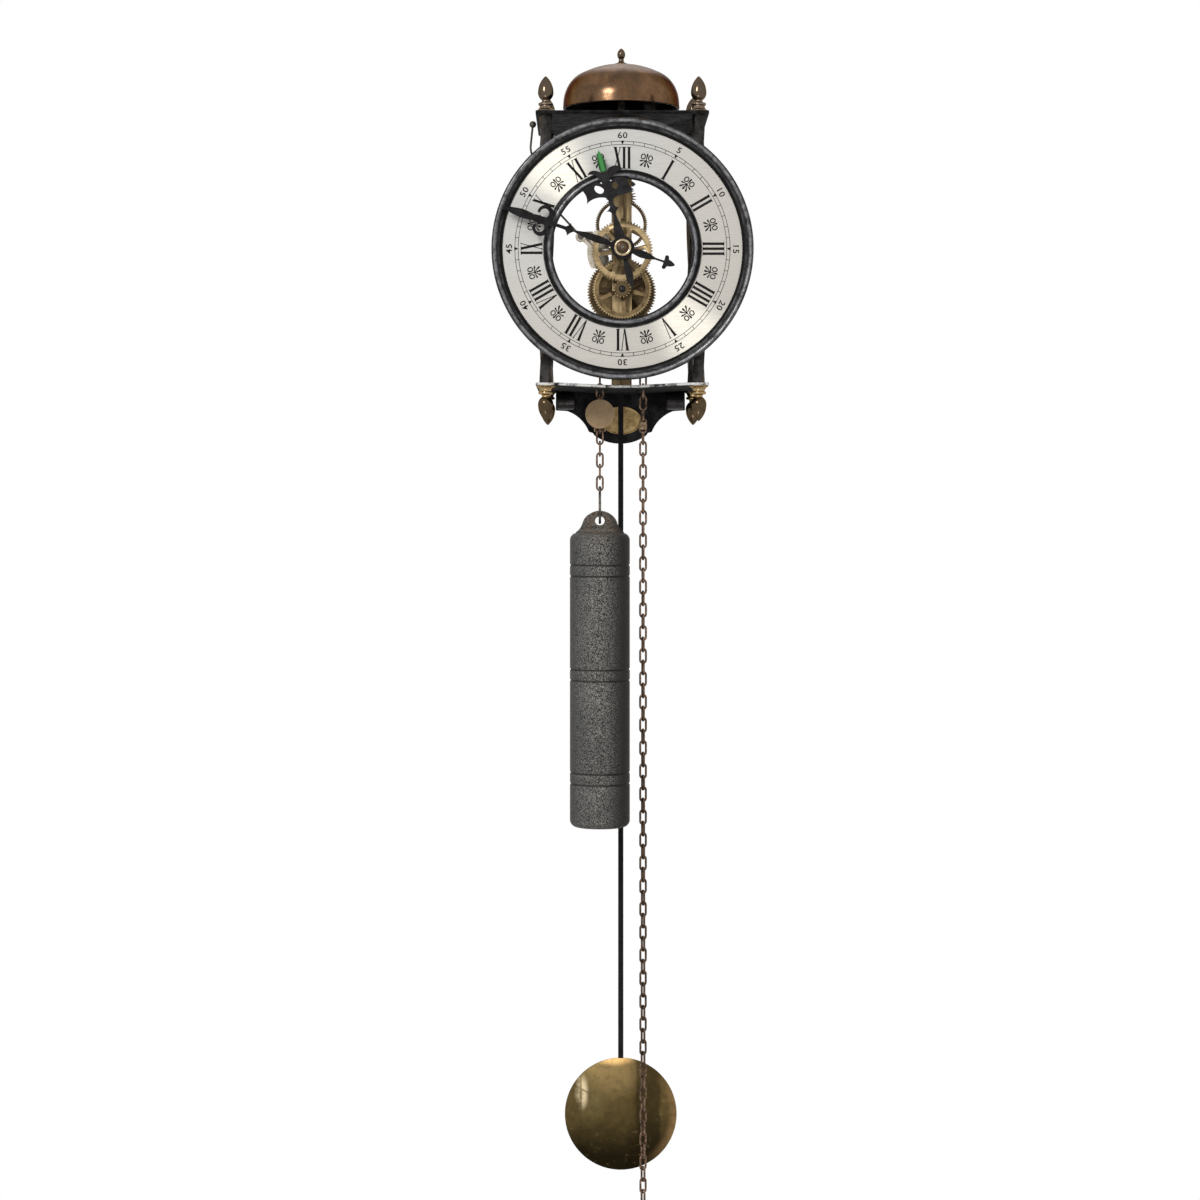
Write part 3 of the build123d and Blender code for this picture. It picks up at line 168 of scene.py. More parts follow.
class Paint:
    """One material with a metal or paint shader and the nodes that feed it."""

    def __init__(self, name):
        self.material = bpy.data.materials.new(name)
        self.material.use_nodes = True
        self.tree = self.material.node_tree
        self.shader = self.tree.nodes["Principled BSDF"]
        self.shader.inputs["Specular Tint"].default_value = (0.5, 0.42, 0.34, 1.0)
        self.position = self.add("ShaderNodeTexCoord", {}, output="Object")

    def connect(self, socket, value):
        if isinstance(value, Value):
            self.tree.links.new(value.socket, socket)
        elif hasattr(socket.default_value, "__len__") and len(socket.default_value) == 4:
            socket.default_value = (*value[:3], 1.0)
        else:
            socket.default_value = value

    def add(self, kind, settings, *inputs, output=0, **named):
        """Add a node, set its settings, then feed its sockets in order or by name."""
        node = self.tree.nodes.new(kind)
        for name, value in settings.items():
            setattr(node, name, value)
        for socket, value in zip(node.inputs, inputs):
            self.connect(socket, value)
        for name, value in named.items():
            self.connect(node.inputs[name.replace("_", " ")], value)
        return Value(self, node.outputs[output])

    def noise(self, scale, detail=4.0, roughness=0.55, stretch=None):
        """Cloudy noise on the object's own coordinates, stretched where a grain runs."""
        spot = self.position
        if stretch:
            spot = self.add("ShaderNodeMapping", {}, Vector=spot, Scale=stretch)
        return self.add("ShaderNodeTexNoise", {}, Vector=spot, Scale=scale, Detail=detail,
                        Roughness=roughness)

    def along(self, axis):
        """Millimetres along one of the scene's axes."""
        return self.add("ShaderNodeSeparateXYZ", {}, self.position, output=axis) * 1000.0

    def mix(self, factor, first, second):
        """Colour between two colours."""
        node = self.tree.nodes.new("ShaderNodeMix")
        node.data_type = "RGBA"
        self.connect(node.inputs["Factor"], factor)
        colours = [socket for socket in node.inputs if socket.type == "RGBA"]
        self.connect(colours[0], first)
        self.connect(colours[1], second)
        result = [socket for socket in node.outputs if socket.type == "RGBA"]
        return Value(self, result[0])

    def bump(self, height, strength, distance):
        """Surface relief from a height."""
        return self.add("ShaderNodeBump", {}, Strength=strength, Distance=distance, Height=height)

    def finish(self, colour, metallic, roughness, normal=None):
        """Feed the shader and hand back the material."""
        self.connect(self.shader.inputs["Base Color"], colour)
        self.connect(self.shader.inputs["Metallic"], metallic)
        self.connect(self.shader.inputs["Roughness"], roughness)
        if normal:
            self.connect(self.shader.inputs["Normal"], normal)
        return self.material


print("material helper ready")

# %% [markdown]
# Old brass, bronze and blackened iron are all bare metal under a thin uneven skin. Pictures of
# each metal could be wrapped round the parts, but they would stretch and repeat. One recipe of
# noise makes them all instead: a light and a dark tone mixed by slow clouds and by small specks,
# fine grain in the roughness, and a shallow bump. Only the colours and amounts change from metal
# to metal.

# %% Aged metals


def skin(paint, light, dark, cover, patch, speck=900):
    """Tarnish from nought to one, the colour that goes with it, and a height for the bump."""
    cloud = paint.noise(patch, 6.0, 0.65)
    fine = paint.noise(speck, 3.0, 0.7)
    tarnish = (cloud * 0.7 + fine * 0.3).step(*cover)
    return tarnish, paint.mix(tarnish, light, dark), cloud * 0.6 + fine * 0.4


def aged_metal(name, light, dark, cover, patch, roughness, relief=0.15, metallic=0.95, gloss=0.5):
    """Metal with darker tarnish in patches, fine grain and slight dents."""
    paint = Paint(name)
    paint.shader.inputs["Specular IOR Level"].default_value = gloss
    tarnish, colour, height = skin(paint, light, dark, cover, patch)
    shine = roughness + tarnish * 0.16 + paint.noise(2600, 2.0) * 0.1
    return paint.finish(colour, metallic - tarnish * 0.25 * metallic, shine,
                        paint.bump(height, relief, 0.0003))


finishes = {
    "iron": aged_metal(
        "blackened_iron", (0.026, 0.0265, 0.029), (0.006, 0.006, 0.007),
        cover=(0.36, 0.58), patch=160, roughness=0.42, relief=0.2, metallic=0.3, gloss=0.22),
    "sooty_iron": aged_metal(
        "sooty_iron", (0.026, 0.026, 0.027), (0.008, 0.008, 0.0085),
        cover=(0.36, 0.58), patch=160, roughness=0.6, relief=0.2, metallic=0.0, gloss=0.06),
    "pillar_iron": aged_metal(
        "pillar_iron", (0.045, 0.042, 0.04), (0.01, 0.01, 0.01),
        cover=(0.4, 0.62), patch=200, roughness=0.26),
    "roll_iron": aged_metal(
        "roll_iron", (0.03, 0.03, 0.033), (0.008, 0.008, 0.009),
        cover=(0.4, 0.62), patch=200, roughness=0.14, relief=0.08, metallic=0.5),
    "steel": aged_metal(
        "steel", (0.17, 0.155, 0.14), (0.028, 0.022, 0.018),
        cover=(0.4, 0.62), patch=300, roughness=0.28),
    "disc_bronze": aged_metal(
        "disc_bronze", (0.39, 0.275, 0.165), (0.25, 0.17, 0.1),
        cover=(0.4, 0.8), patch=150, roughness=0.6, relief=0.1, metallic=0.2, gloss=0.2),
    "sleeve_brass": aged_metal(
        "sleeve_brass", (0.33, 0.235, 0.15), (0.12, 0.08, 0.05),
        cover=(0.38, 0.66), patch=300, roughness=0.34),
    "plaque_brass": aged_metal(
        "plaque_brass", (0.5, 0.355, 0.165), (0.22, 0.135, 0.05),
        cover=(0.4, 0.7), patch=260, roughness=0.42),
    "rod_brass": aged_metal(
        "rod_brass", (0.0115, 0.0115, 0.0135), (0.006, 0.006, 0.007),
        cover=(0.42, 0.66), patch=160, roughness=0.4, relief=0.0, metallic=0.1, gloss=0.15),
    "hand_black": aged_metal(
        "hand_black", (0.012, 0.0122, 0.014), (0.005, 0.005, 0.006),
        cover=(0.4, 0.6), patch=200, roughness=0.45, relief=0.1, metallic=0.1, gloss=0.24),
    "ink": aged_metal(
        "dial_ink", (0.008, 0.008, 0.009), (0.02, 0.019, 0.018),
        cover=(0.5, 0.8), patch=300, roughness=0.5, relief=0.05, metallic=0.0, gloss=0.2),
}
print("plain metals:", len(finishes))

# %% [markdown]
# Many surfaces change from place to place: a ridge is worn and carries a painted highlight, painted
# shade makes a wheel browner towards the wall, and painted shade darkens a bell inside. Such a
# change could be painted on an image, but then each part would need a flat layout. Here the
# distance to a point, an axis or the dial's plane, worked out from the object's own coordinates,
# says where each change lies.

# %% Where a surface changes
face_on = (1.0, 0.0, 1.0)
seen_from_above = (1.0, 1.0, 0.0)


def distance_to(paint, side, depth, height, squash=(1.0, 1.0, 1.0)):
    """Millimetres from a point beside the dial's centre, with each direction squashed."""
    spot = place(side, depth, height)
    apart = paint.add("ShaderNodeVectorMath", {"operation": "SUBTRACT"}, paint.position,
                      tuple(spot))
    apart = paint.add("ShaderNodeVectorMath", {"operation": "MULTIPLY"}, apart, squash)
    return paint.add("ShaderNodeVectorMath", {"operation": "LENGTH"}, apart,
                     output="Value") * 1000.0


def depth_of(paint):
    """Millimetres behind the dial's front face."""
    return paint.along("Y") - dial_face / mm


def height_of(paint):
    """Millimetres above the dial's centre."""
    return paint.along("Z") - dial_height / mm


def band(value, low, high, soft):
    """One between low and high, fading to nought over the soft width on both sides."""
    return value.step(low - soft, low) - value.step(high, high + soft)


def across_turned(paint, turn):
    """Millimetres along and across a line through the dial's centre, clockwise from twelve."""
    centre = place(0, 0, 0)
    x = paint.along("X") - centre.x / mm
    z = paint.along("Z") - centre.z / mm
    return x * sin(turn) + z * cos(turn), x * cos(turn) - z * sin(turn)


print("the dial's face is at", round(dial_face / mm, 1), "mm")

# %% [markdown]
# The dial is silvered brass, brushed sideways in fine lines. A painted highlight crosses it as a
# pale wedge from the upper left to the lower right, the way round brushed metal often catches
# light, so the wedge is an angle round the centre, and a painted warm sheen grows towards the lower
# right. The cast rings are dark pewter. Their ridges are worn and carry a painted highlight in
# streaks, and painted shade makes their hollows black; both lie at a known distance from the
# dial's centre.

# %% Dial and ring finishes


def dial_paint():
    """Silver brushed sideways, with a painted highlight from the upper left to the lower right."""
    paint = Paint("dial_silver")
    brushed = paint.noise(1500, 3.0, 0.6, stretch=(0.05, 1.0, 1.0))
    cloud = paint.noise(40, 3.0)
    # Painted warm sheen that grows towards the lower right, mixed with cloudy tone.
    warm = distance_to(paint, -55, 0, 60).step(30.0, 150.0) * 0.7 + cloud * 0.3
    tone = paint.mix(warm, (0.465, 0.462, 0.446), (0.48, 0.45, 0.407))
    # Painted highlight: a pale wedge from the upper left to the lower right.
    light_turn = radians(140)
    across = across_turned(paint, light_turn)[1]
    highlight_wedge = across.math("ABSOLUTE").math("DIVIDE", distance_to(paint, 0, 0, 0, face_on))
    tone = paint.mix(highlight_wedge.step(0.4, 0.08), tone, (0.86, 0.82, 0.72))
    colour = paint.mix(brushed.step(0.35, 0.75) * 0.3, tone, (0.33, 0.32, 0.3))
    return paint.finish(colour, 0.45, 0.4 + brushed * 0.12, paint.bump(brushed, 0.15, 0.0001))


def ring_paint(name, ridge, recess):
    """Dark pewter with a painted highlight and wear on its ridge and painted shade in its recess.
    """
    paint = Paint(name)
    tarnish, colour, height = skin(paint, (0.085, 0.086, 0.09), (0.022, 0.022, 0.024),
                                   cover=(0.36, 0.6), patch=180)
    out = distance_to(paint, 0, 0, 0, face_on)
    streak = paint.noise(260, 4.0, 0.7).step(0.3, 0.65)
    # Painted highlight, partly wear, in streaks along the ridge.
    colour = paint.mix(band(out, *ridge) * streak, colour, (0.21, 0.21, 0.218))
    # Painted shade: the recess goes black.
    colour = paint.mix(band(out, *recess), colour, (0.008, 0.008, 0.008))
    return paint.finish(colour, 0.9, 0.3 + tarnish * 0.15, paint.bump(height, 0.12, 0.0003))


print("dial and ring finishes ready")

# %% [markdown]
# The wheels are brass. Painted shade makes them browner towards the wall, darker in their tooth
# zones and round their hubs, and darker within a given radius. Their teeth are worn, and painted
# shade sits on every face that looks sideways, such as a tooth's flank. The surface's own normal
# picks those faces out, which no distance could do. The bars behind them have brown streaks along
# their length: the same noise, stretched upwards. Painted shade darkens them towards the wall.

# %% Wheel and bar finishes


def wheel_paint(name, light, dark, height=0.0, rim=90.0, hub=0.0, face=0.0, shade_r=0.0, worn=0.0):
    """Brass wheel with worn teeth and painted shade at its teeth, hub, flanks and within a radius.
    """
    paint = Paint(name)
    tarnish, colour, relief = skin(paint, light, dark, cover=(0.38, 0.68), patch=200, speck=700)
    out = distance_to(paint, 0, 0, height, face_on)
    behind = depth_of(paint).step(face - 0.3, face - 0.1)
    colour = paint.mix(behind, (0.42, 0.3, 0.155), colour)
    # Painted shade in the tooth zone and round the hub behind the face.
    shade = (out.step(rim - 2.2, rim - 0.4) * (0.5 - worn * 0.5)
             + out.step(hub, hub - 1.0) * behind * 0.9)
    colour = paint.mix(shade, colour, (0.035, 0.023, 0.012))
    colour = paint.mix(out.step(rim - 0.9, rim - 0.2) * worn, colour, (0.45, 0.33, 0.17))
    core = (1.0 - behind) * out.step(4.7, 4.2)
    colour = paint.mix(core * 0.85, colour, (0.05, 0.033, 0.018))
    # Painted shade within the given radius.
    colour = paint.mix(out.step(shade_r + 0.4, shade_r - 0.4) * behind * 0.65, colour,
                       (0.045, 0.03, 0.017))
    # Painted shade on faces that look sideways, such as a tooth's flank.
    facing = paint.add("ShaderNodeTexCoord", {}, output="Normal")
    facing = paint.add("ShaderNodeSeparateXYZ", {}, facing, output="Y").math("ABSOLUTE")
    colour = paint.mix(facing.step(0.75, 0.35) * 0.85, colour, (0.014, 0.009, 0.005))
    return paint.finish(colour, 0.85, 0.36 + tarnish * 0.16, paint.bump(relief, 0.12, 0.0003))


def bar_paint():
    """Brass bar with brown streaks along it and painted shade that deepens towards the wall."""
    paint = Paint("bar_brass")
    streak = paint.noise(420, 4.0, 0.65, stretch=(1.0, 1.0, 0.14)).step(0.36, 0.66)
    cloud = paint.noise(90, 4.0).step(0.35, 0.7)
    colour = paint.mix(streak * 0.7 + cloud * 0.3, (0.52, 0.385, 0.205), (0.1, 0.066, 0.034))
    # Painted shade: darker the deeper the bar lies.
    colour = paint.mix(depth_of(paint).step(30.0, 60.0) * 0.5, colour, (0.04, 0.027, 0.015))
    return paint.finish(colour, 0.85, 0.36 + streak * 0.14, paint.bump(streak, 0.1, 0.0002))


print("wheel and bar finishes ready")

# %% [markdown]
# The bell is bronze, brown and speckled outside and duller on its crown, and painted shade makes it
# nearly black inside. Its shell is thin, so the inside is told from the outside by the distance
# from the bell's axis.

# %% Bell finish


def bell_paint():
    """Bronze shell, brown and matt outside, with painted shade making it nearly black inside."""
    paint = Paint("bell_bronze")
    paint.shader.inputs["Specular Tint"].default_value = (0.32, 0.27, 0.22, 1.0)
    tarnish, colour, height = skin(paint, (0.185, 0.1, 0.052), (0.09, 0.056, 0.033),
                                   cover=(0.36, 0.66), patch=45)
    grime = paint.noise(190, 6.0, 0.72)
    out = distance_to(paint, 0, bell_depth, rim_height, seen_from_above)
    lift = height_of(paint) - rim_height
    # Inside the thin shell, where painted shade makes the bronze nearly black.
    inside = (bell_r - lift * 0.27 - out).step(0.9, 1.5) * lift.step(14.0, 12.0)
    crown = lift.step(14.0, 22.0)
    colour = paint.mix(crown * 0.6, colour, (0.13, 0.09, 0.062))
    colour = paint.mix(grime.step(0.46, 0.64) * (crown * 0.25 + 0.3), colour, (0.04, 0.03, 0.024))
    colour = paint.mix(grime.step(0.43, 0.3) * 0.3, colour, (0.3, 0.18, 0.1))
    colour = paint.mix(inside, colour, (0.006, 0.004, 0.003))
    shine = 0.15 + tarnish * 0.1 + inside * 0.45 + crown * 0.3
    return paint.finish(colour, 0.95 - inside * 0.9 - crown * 0.6, shine,
                        paint.bump(height, 0.03, 0.0003))


print("bell finish ready")

# %% [markdown]
# The weight is cast iron with a pitted, speckled skin. Very fine noise with a hard step gives the
# pits their dark floors and bright edges, and the same noise drives the bump. Painted shade makes
# it darker towards its sides and in its grooves and gives its left side a cool tint, and it is
# brown with rust about the lug.

# %% Weight finish
groove_heights = [-311.3, -304.8, -250.4, -243.9, -189.0, -182.5]


def weight_paint():
    """Cast iron, pitted and speckled, with painted shade at the sides and in the grooves."""
    paint = Paint("weight_iron")
    pits = paint.noise(1700, 2.0, 0.7)
    cloud = paint.noise(60, 3.0)
    grey = paint.mix(pits.step(0.43, 0.6), (0.009, 0.0105, 0.014), (0.235, 0.226, 0.206))
    grey = paint.mix(cloud.step(0.35, 0.75) * 0.35, grey, (0.035, 0.036, 0.039))
    across = paint.along("X") - weight_side
    # Painted shade: a cool tint on the left side.
    grey = paint.mix(across.step(-4.0, -14.0) * 0.3, grey, (0.03, 0.036, 0.046))
    # Painted shade towards the sides and in the grooves.
    sides = across.step(1.0, 15.0) * 0.95 + across.step(-12.0, -17.5) * 0.5
    lift = height_of(paint)
    for height in groove_heights:
        sides = sides + band(lift, height - 0.25, height + 0.25, 0.45) * 0.8
    grey = paint.mix(sides.math("MINIMUM", 1.0), grey, (0.009, 0.0095, 0.011))
    rust = (distance_to(paint, weight_side, 40, -159).step(18.0, 7.0)
            * paint.noise(300, 4.0).step(0.36, 0.58))
    colour = paint.mix(rust * 0.35, grey, (0.13, 0.08, 0.045))
    return paint.finish(colour, 0.3, 0.5 + pits * 0.15, paint.bump(pits, 0.7, 0.0004))


print("weight finish ready")

# %% [markdown]
# The bob is polished brass, and what it mirrors is painted into its colour: a painted reflection
# runs from nearly black below to olive in soft clouds higher up, a painted highlight lies on its
# top edge and a golden one on its right rim, a painted shadow runs down it where the chain hangs
# before it, and the panes of a window, with a paler sheen round them, show at its upper left. The
# room that a polished lens mirrors could be built round the clock, but it would light everything
# else too, so each of these is a soft spot of colour in its place.

# %% Bob finish


def bob_paint():
    """Brass with painted reflections: bright top edge, olive middle, nearly black below."""
    paint = Paint("bob_brass")
    cloud = paint.noise(75, 6.0, 0.62)
    lift = height_of(paint) - bob_height + cloud * 26.0 - 13.0
    out = distance_to(paint, 0, bob_depth, bob_height, face_on)
    # Painted reflection: nearly black below, olive higher up.
    colour = paint.mix(lift.step(-28.0, 8.0), (0.014, 0.01, 0.004), (0.105, 0.073, 0.026))
    # Painted highlight: a soft bright patch near the top.
    painted_glow = distance_to(paint, -4, 0, -488, (0.75, 0.0, 1.0)).step(20.0, 5.0)
    colour = paint.mix(painted_glow * 0.8, colour, (0.3, 0.205, 0.085))
    across = paint.along("X")
    # Painted shadow where the chain hangs before the bob.
    shadow = band(across + cloud * 5.0, 13.0, 25.0, 2.5)
    colour = paint.mix(shadow * 0.6, colour, (0.016, 0.011, 0.004))
    # Painted highlight along the top edge.
    edge = distance_to(paint, -3, 0, -480.5, (0.6, 0.0, 1.6)).step(9.0, 2.0)
    colour = paint.mix(edge, colour, (0.9, 0.56, 0.22))
    # Painted reflection: a golden rim on the right.
    rim = out.step(27.0, 33.0) * distance_to(paint, 31, 0, -518, face_on).step(34.0, 8.0)
    colour = paint.mix(rim * 0.8, colour, (0.27, 0.165, 0.07))
    # Painted sheen, paler, round the window.
    about = distance_to(paint, -19, 0, -503, (1.1, 0.0, 0.8)).step(17.0, 4.0)
    colour = paint.mix(about * cloud.step(0.25, 0.7) * 0.5, colour, (0.2, 0.155, 0.065))
    # Painted reflection of a window, split into panes by bars.
    window = distance_to(paint, -23.5, 0, -501, (1.9, 0.0, 0.75)).step(9.5, 2.5)
    bars = (band(height_of(paint) + across * 0.5, -511.2, -510.4, 0.5)
            + band(across, -24.4, -23.8, 0.5))
    panes = cloud.step(0.28, 0.52) * (1.0 - bars.math("MINIMUM", 1.0) * 0.6)
    colour = paint.mix(window * panes * 0.9, colour, (0.84, 0.68, 0.42))
    mottle = paint.noise(210, 5.0, 0.68)
    colour = paint.mix(mottle.step(0.46, 0.66) * (1.0 - window) * 0.28, colour,
                       (0.018, 0.014, 0.008))
    colour = paint.mix(mottle.step(0.42, 0.3) * 0.3, colour, (0.26, 0.19, 0.085))
    return paint.finish(colour, 0.95, 0.2 + cloud * 0.2, paint.bump(cloud, 0.12, 0.0006))


print("bob finish ready")

# %% [markdown]
# The bottom plate is black iron, but its front edge has been rubbed to bare metal. The finials are
# dark brass with brighter collars at the plates, and the upper four have gone greyer. Separate
# materials for an edge or a collar would meet in a hard line, so depth and height fade one into
# the other.

# %% Plate and finial finishes


def plate_paint():
    """Black iron whose front edge is rubbed to bare metal."""
    paint = Paint("bottom_plate_iron")
    paint.shader.inputs["Specular IOR Level"].default_value = 0.08
    tarnish, colour, height = skin(paint, (0.016, 0.016, 0.017), (0.006, 0.006, 0.0065),
                                   cover=(0.36, 0.58), patch=160)
    front = depth_of(paint).step(6.55, 6.2)
    worn = front * paint.noise(240, 4.0, 0.7).step(0.36, 0.56)
    colour = paint.mix(worn, colour, (0.58, 0.57, 0.55))
    shine = 0.85 - worn * 0.4 + tarnish * 0.1
    return paint.finish(colour, worn * 0.8, shine, paint.bump(height, 0.15, 0.0003))


def finial_paint():
    """Dark, smooth bulb and point with a brighter collar at the plate, greyer above the dial."""
    paint = Paint("finial_brass")
    tarnish, colour, height = skin(paint, (0.1, 0.07, 0.04), (0.036, 0.026, 0.016),
                                   cover=(0.38, 0.7), patch=130)
    lift = height_of(paint)
    collar_height = 6.6
    collar = (band(lift, bottom_face - collar_height, bottom_face, 0.8)
              + band(lift, top_face, top_face + collar_height, 0.8))
    upper = lift.step(0.0, 1.0)
    colour = paint.mix(upper * 0.5, colour, (0.115, 0.09, 0.07))
    colour = paint.mix(collar * 0.75, colour,
                       paint.mix(upper, (0.42, 0.3, 0.15), (0.2, 0.155, 0.115)))
    return paint.finish(colour, 0.95, 0.14 + tarnish * 0.12, paint.bump(height, 0.06, 0.0003))


print("plate and finial finishes ready")

# %% [markdown]
# The chain is pinkish brass, darker where the free strand hangs between the case and the bob. The
# strike lever is pale nickel with a dark wire. Both changes go with height alone.

# %% Chain and lever finishes


def chain_paint():
    """Chain brass, pinkish brown at the case and the bob and darker between them."""
    paint = Paint("chain_brass")
    tarnish, colour, height = skin(paint, (0.26, 0.17, 0.118), (0.055, 0.035, 0.024),
                                   cover=(0.36, 0.62), patch=420)
    low = height_of(paint).step(-200.0, -330.0) - height_of(paint).step(-472.0, -484.0)
    colour = paint.mix(low * 0.65, colour, (0.045, 0.032, 0.022))
    return paint.finish(colour, 0.95 - tarnish * 0.2, 0.3 + tarnish * 0.16,
                        paint.bump(height, 0.15, 0.0003))


def lever_paint():
    """Pale nickel lever whose long wire and knob have gone dark."""
    paint = Paint("lever_nickel")
    tarnish, colour, height = skin(paint, (0.58, 0.53, 0.44), (0.3, 0.24, 0.165),
                                   cover=(0.42, 0.72), patch=260)
    wire = height_of(paint).step(12.4, 13.4)
    colour = paint.mix(wire, colour, (0.075, 0.068, 0.06))
    return paint.finish(colour, 0.95 - tarnish * 0.2, 0.38 + tarnish * 0.16,
                        paint.bump(height, 0.15, 0.0003))


print("chain and lever finishes ready")

# %% [markdown]
# The hour hand is black, and the point of its spear catches a green light. A green lamp would tint
# the dial behind it too, so the point itself is green, by its place along the hand. The collet
# that holds the hands is a bright ring with a brown recess.

# %% Hand and collet finishes


def hour_hand_paint():
    """Black hand whose spear point catches a green light."""
    paint = Paint("hour_hand_black")
    paint.shader.inputs["Specular IOR Level"].default_value = 0.3
    tarnish, colour, height = skin(paint, (0.015, 0.0155, 0.018), (0.006, 0.006, 0.007),
                                   cover=(0.4, 0.6), patch=200)
    hand_turn = radians(346)
    along, across = across_turned(paint, hand_turn)
    beside = across.math("ABSOLUTE")
    green = paint.mix(beside.step(0.3, 1.9), (0.045, 0.2, 0.055), (0.008, 0.05, 0.012))
    colour = paint.mix(along.step(44.4, 45.8) * beside.step(2.5, 2.3), colour, green)
    return paint.finish(colour, 0.1, 0.4 + tarnish * 0.1, paint.bump(height, 0.1, 0.0003))


def collet_paint():
    """Brass ring with a brown recess in its middle."""
    paint = Paint("collet_brass")
    tarnish, colour, height = skin(paint, (0.52, 0.42, 0.27), (0.2, 0.145, 0.085),
                                   cover=(0.42, 0.7), patch=300)
    out = distance_to(paint, 0, 0, 0, face_on)
    colour = paint.mix(out.step(3.35, 3.15), colour, (0.07, 0.045, 0.03))
    return paint.finish(colour, 0.9, 0.28 + tarnish * 0.15, paint.bump(height, 0.1, 0.0003))


print("hand and collet finishes ready")

# %% [markdown]
# Every part is now given the finish of its material slot. The wheels share one slot but differ in
# size and in the painted shade that their depth gives them, so four of them also have a finish of
# their own.

# %% Finishes on the parts
# Three brass tones: the deeper a wheel lies, the darker its painted shade.
front_brass = ((0.5, 0.375, 0.2), (0.24, 0.165, 0.085))
brown_brass = ((0.24, 0.17, 0.085), (0.09, 0.06, 0.03))
shaded_brass = ((0.21, 0.147, 0.078), (0.06, 0.042, 0.022))
wheel_finish = {
    "hour_wheel": wheel_paint("hour_brass", *front_brass, rim=17.5, hub=6.6, face=10.0,
                              shade_r=13.0, worn=0.3),
    "minute_wheel": wheel_paint("minute_brass", *brown_brass, height=-great_drop, rim=16.4, hub=7.4,
                                face=16.2, worn=0.8),
    "great_wheel": wheel_paint("great_brass", *shaded_brass, height=-great_drop, rim=19.8, hub=4.0,
                               face=30.0, shade_r=18.5, worn=0.6),
    "centre_wheel": wheel_paint("centre_brass", *shaded_brass, rim=18.0, hub=4.0, face=40.0)}
finishes.update({
    "wheel_brass": wheel_paint("wheel_brass", *brown_brass),
    "bell_bronze": bell_paint(),
    "finial_brass": finial_paint(),
    "chain_brass": chain_paint(),
    "lever_nickel": lever_paint(),
    "dial_silver": dial_paint(),
    "ring_pewter": ring_paint("bezel_pewter", ridge=(72.2, 73.6, 0.8), recess=(68.0, 70.2, 0.9)),
    "weight_iron": weight_paint(),
    "bob_brass": bob_paint()})
inner_pewter = ring_paint("inner_pewter", ridge=(41.8, 42.6, 0.5), recess=(44.0, 44.8, 0.3))
node_slot = {part["node"]: part["material_slot"] for part in frame["record"]["subparts"]}
bodies = frame["record"]["behaviour"]["bodies"]
body_of_node = {node: body for body, nodes in bodies.items() for node in nodes}
for node, thing in frame["nodes"].items():
    for material_slot in thing.material_slots:
        material_slot.material = finishes[node_slot[node]]
print("finishes:", len(finishes))

# %% [markdown]
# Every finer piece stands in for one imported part, rides on the same body and keeps its finish.
# Doing those steps piece by piece invites mistakes, so one helper does them all, and a second one
# joins a small extra piece to a part that stays.

# %% Piece helpers


def show(piece, node, material=None):
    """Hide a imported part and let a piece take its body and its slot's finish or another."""
    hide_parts(node)
    return join_on(piece, node, material or finishes[node_slot[node]])


def join_on(piece, node, material):
    """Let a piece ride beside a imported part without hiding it."""
    piece.data.materials.clear()
    piece.data.materials.append(material)
    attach(piece, body_of_node[node])
    return piece


def make_object(name, mesh, smooth=35):
    """Object at the origin with smooth faces and crisp corners."""
    mesh.shade_smooth()
    mesh.set_sharp_from_angle(angle=radians(smooth))
    return linked(name, mesh)


def mesh_of(name, shape, outwards=True):
    """Turn a finished shape into a mesh and free it; a shape made here gets its faces outwards."""
    if outwards:
        bmesh.ops.recalc_face_normals(shape, faces=shape.faces)
    mesh = bpy.data.meshes.new(name)
    shape.to_mesh(mesh)
    shape.free()
    return mesh


def applied_mesh(thing):
    """Plain mesh of an object as its modifiers or its text leave it."""
    bpy.context.view_layer.update()
    graph = bpy.context.evaluated_depsgraph_get()
    return bpy.data.meshes.new_from_object(thing.evaluated_get(graph))


print("parts that can be replaced:", len(node_slot))

# %% [markdown]
# A turned part's outline is mostly arcs. Typed points would leave corners, so this helper gives
# the points on the circle through three given ones: its start, a point on the way, and its end.

# %% Arcs


def arc(start, middle, end, steps=10):
    """Points on the circle through three points, without the first."""
    (ax, ay), (bx, by), (cx, cy) = start, middle, end
    d = 2 * (ax * (by - cy) + bx * (cy - ay) + cx * (ay - by))
    a, b, c = ax * ax + ay * ay, bx * bx + by * by, cx * cx + cy * cy
    ux = (a * (by - cy) + b * (cy - ay) + c * (ay - by)) / d
    uy = (a * (cx - bx) + b * (ax - cx) + c * (bx - ax)) / d
    radius = sqrt((ax - ux) ** 2 + (ay - uy) ** 2)
    first, half, last = (atan2(y - uy, x - ux) for x, y in (start, middle, end))
    turn = (last - first) % (2 * pi)
    if (half - first) % (2 * pi) > turn:
        turn -= 2 * pi
    angles = [first + turn * step / steps for step in range(1, steps + 1)]
    return [(ux + radius * cos(angle), uy + radius * sin(angle)) for angle in angles]


print("an arc's end:", [round(value, 3) for value in arc((1, 0), (0, 1), (-1, 0))[-1]])

# %% [markdown]
# Most round parts were turned on a lathe. Blender's Screw modifier could spin an outline too, but
# a short function keeps the outline in millimetres, closes the poles and makes the same piece at
# several spots. Rings of points are made first, then the faces between each ring and the next.

# %% Lathe


def bridge(shape, rings, closed=False):
    """Faces between each ring of points and the next; a ring of one point is a pole."""
    pairs = list(zip(rings, rings[1:])) + ([(rings[-1], rings[0])] if closed else [])
    for first, second in pairs:
        for number in range(max(len(first), len(second))):
            after = number + 1
            corners = [first[number % len(first)], first[after % len(first)],
                       second[after % len(second)], second[number % len(second)]]
            distinct = list(dict.fromkeys(corners))
            if len(distinct) > 2:
                shape.faces.new(distinct)


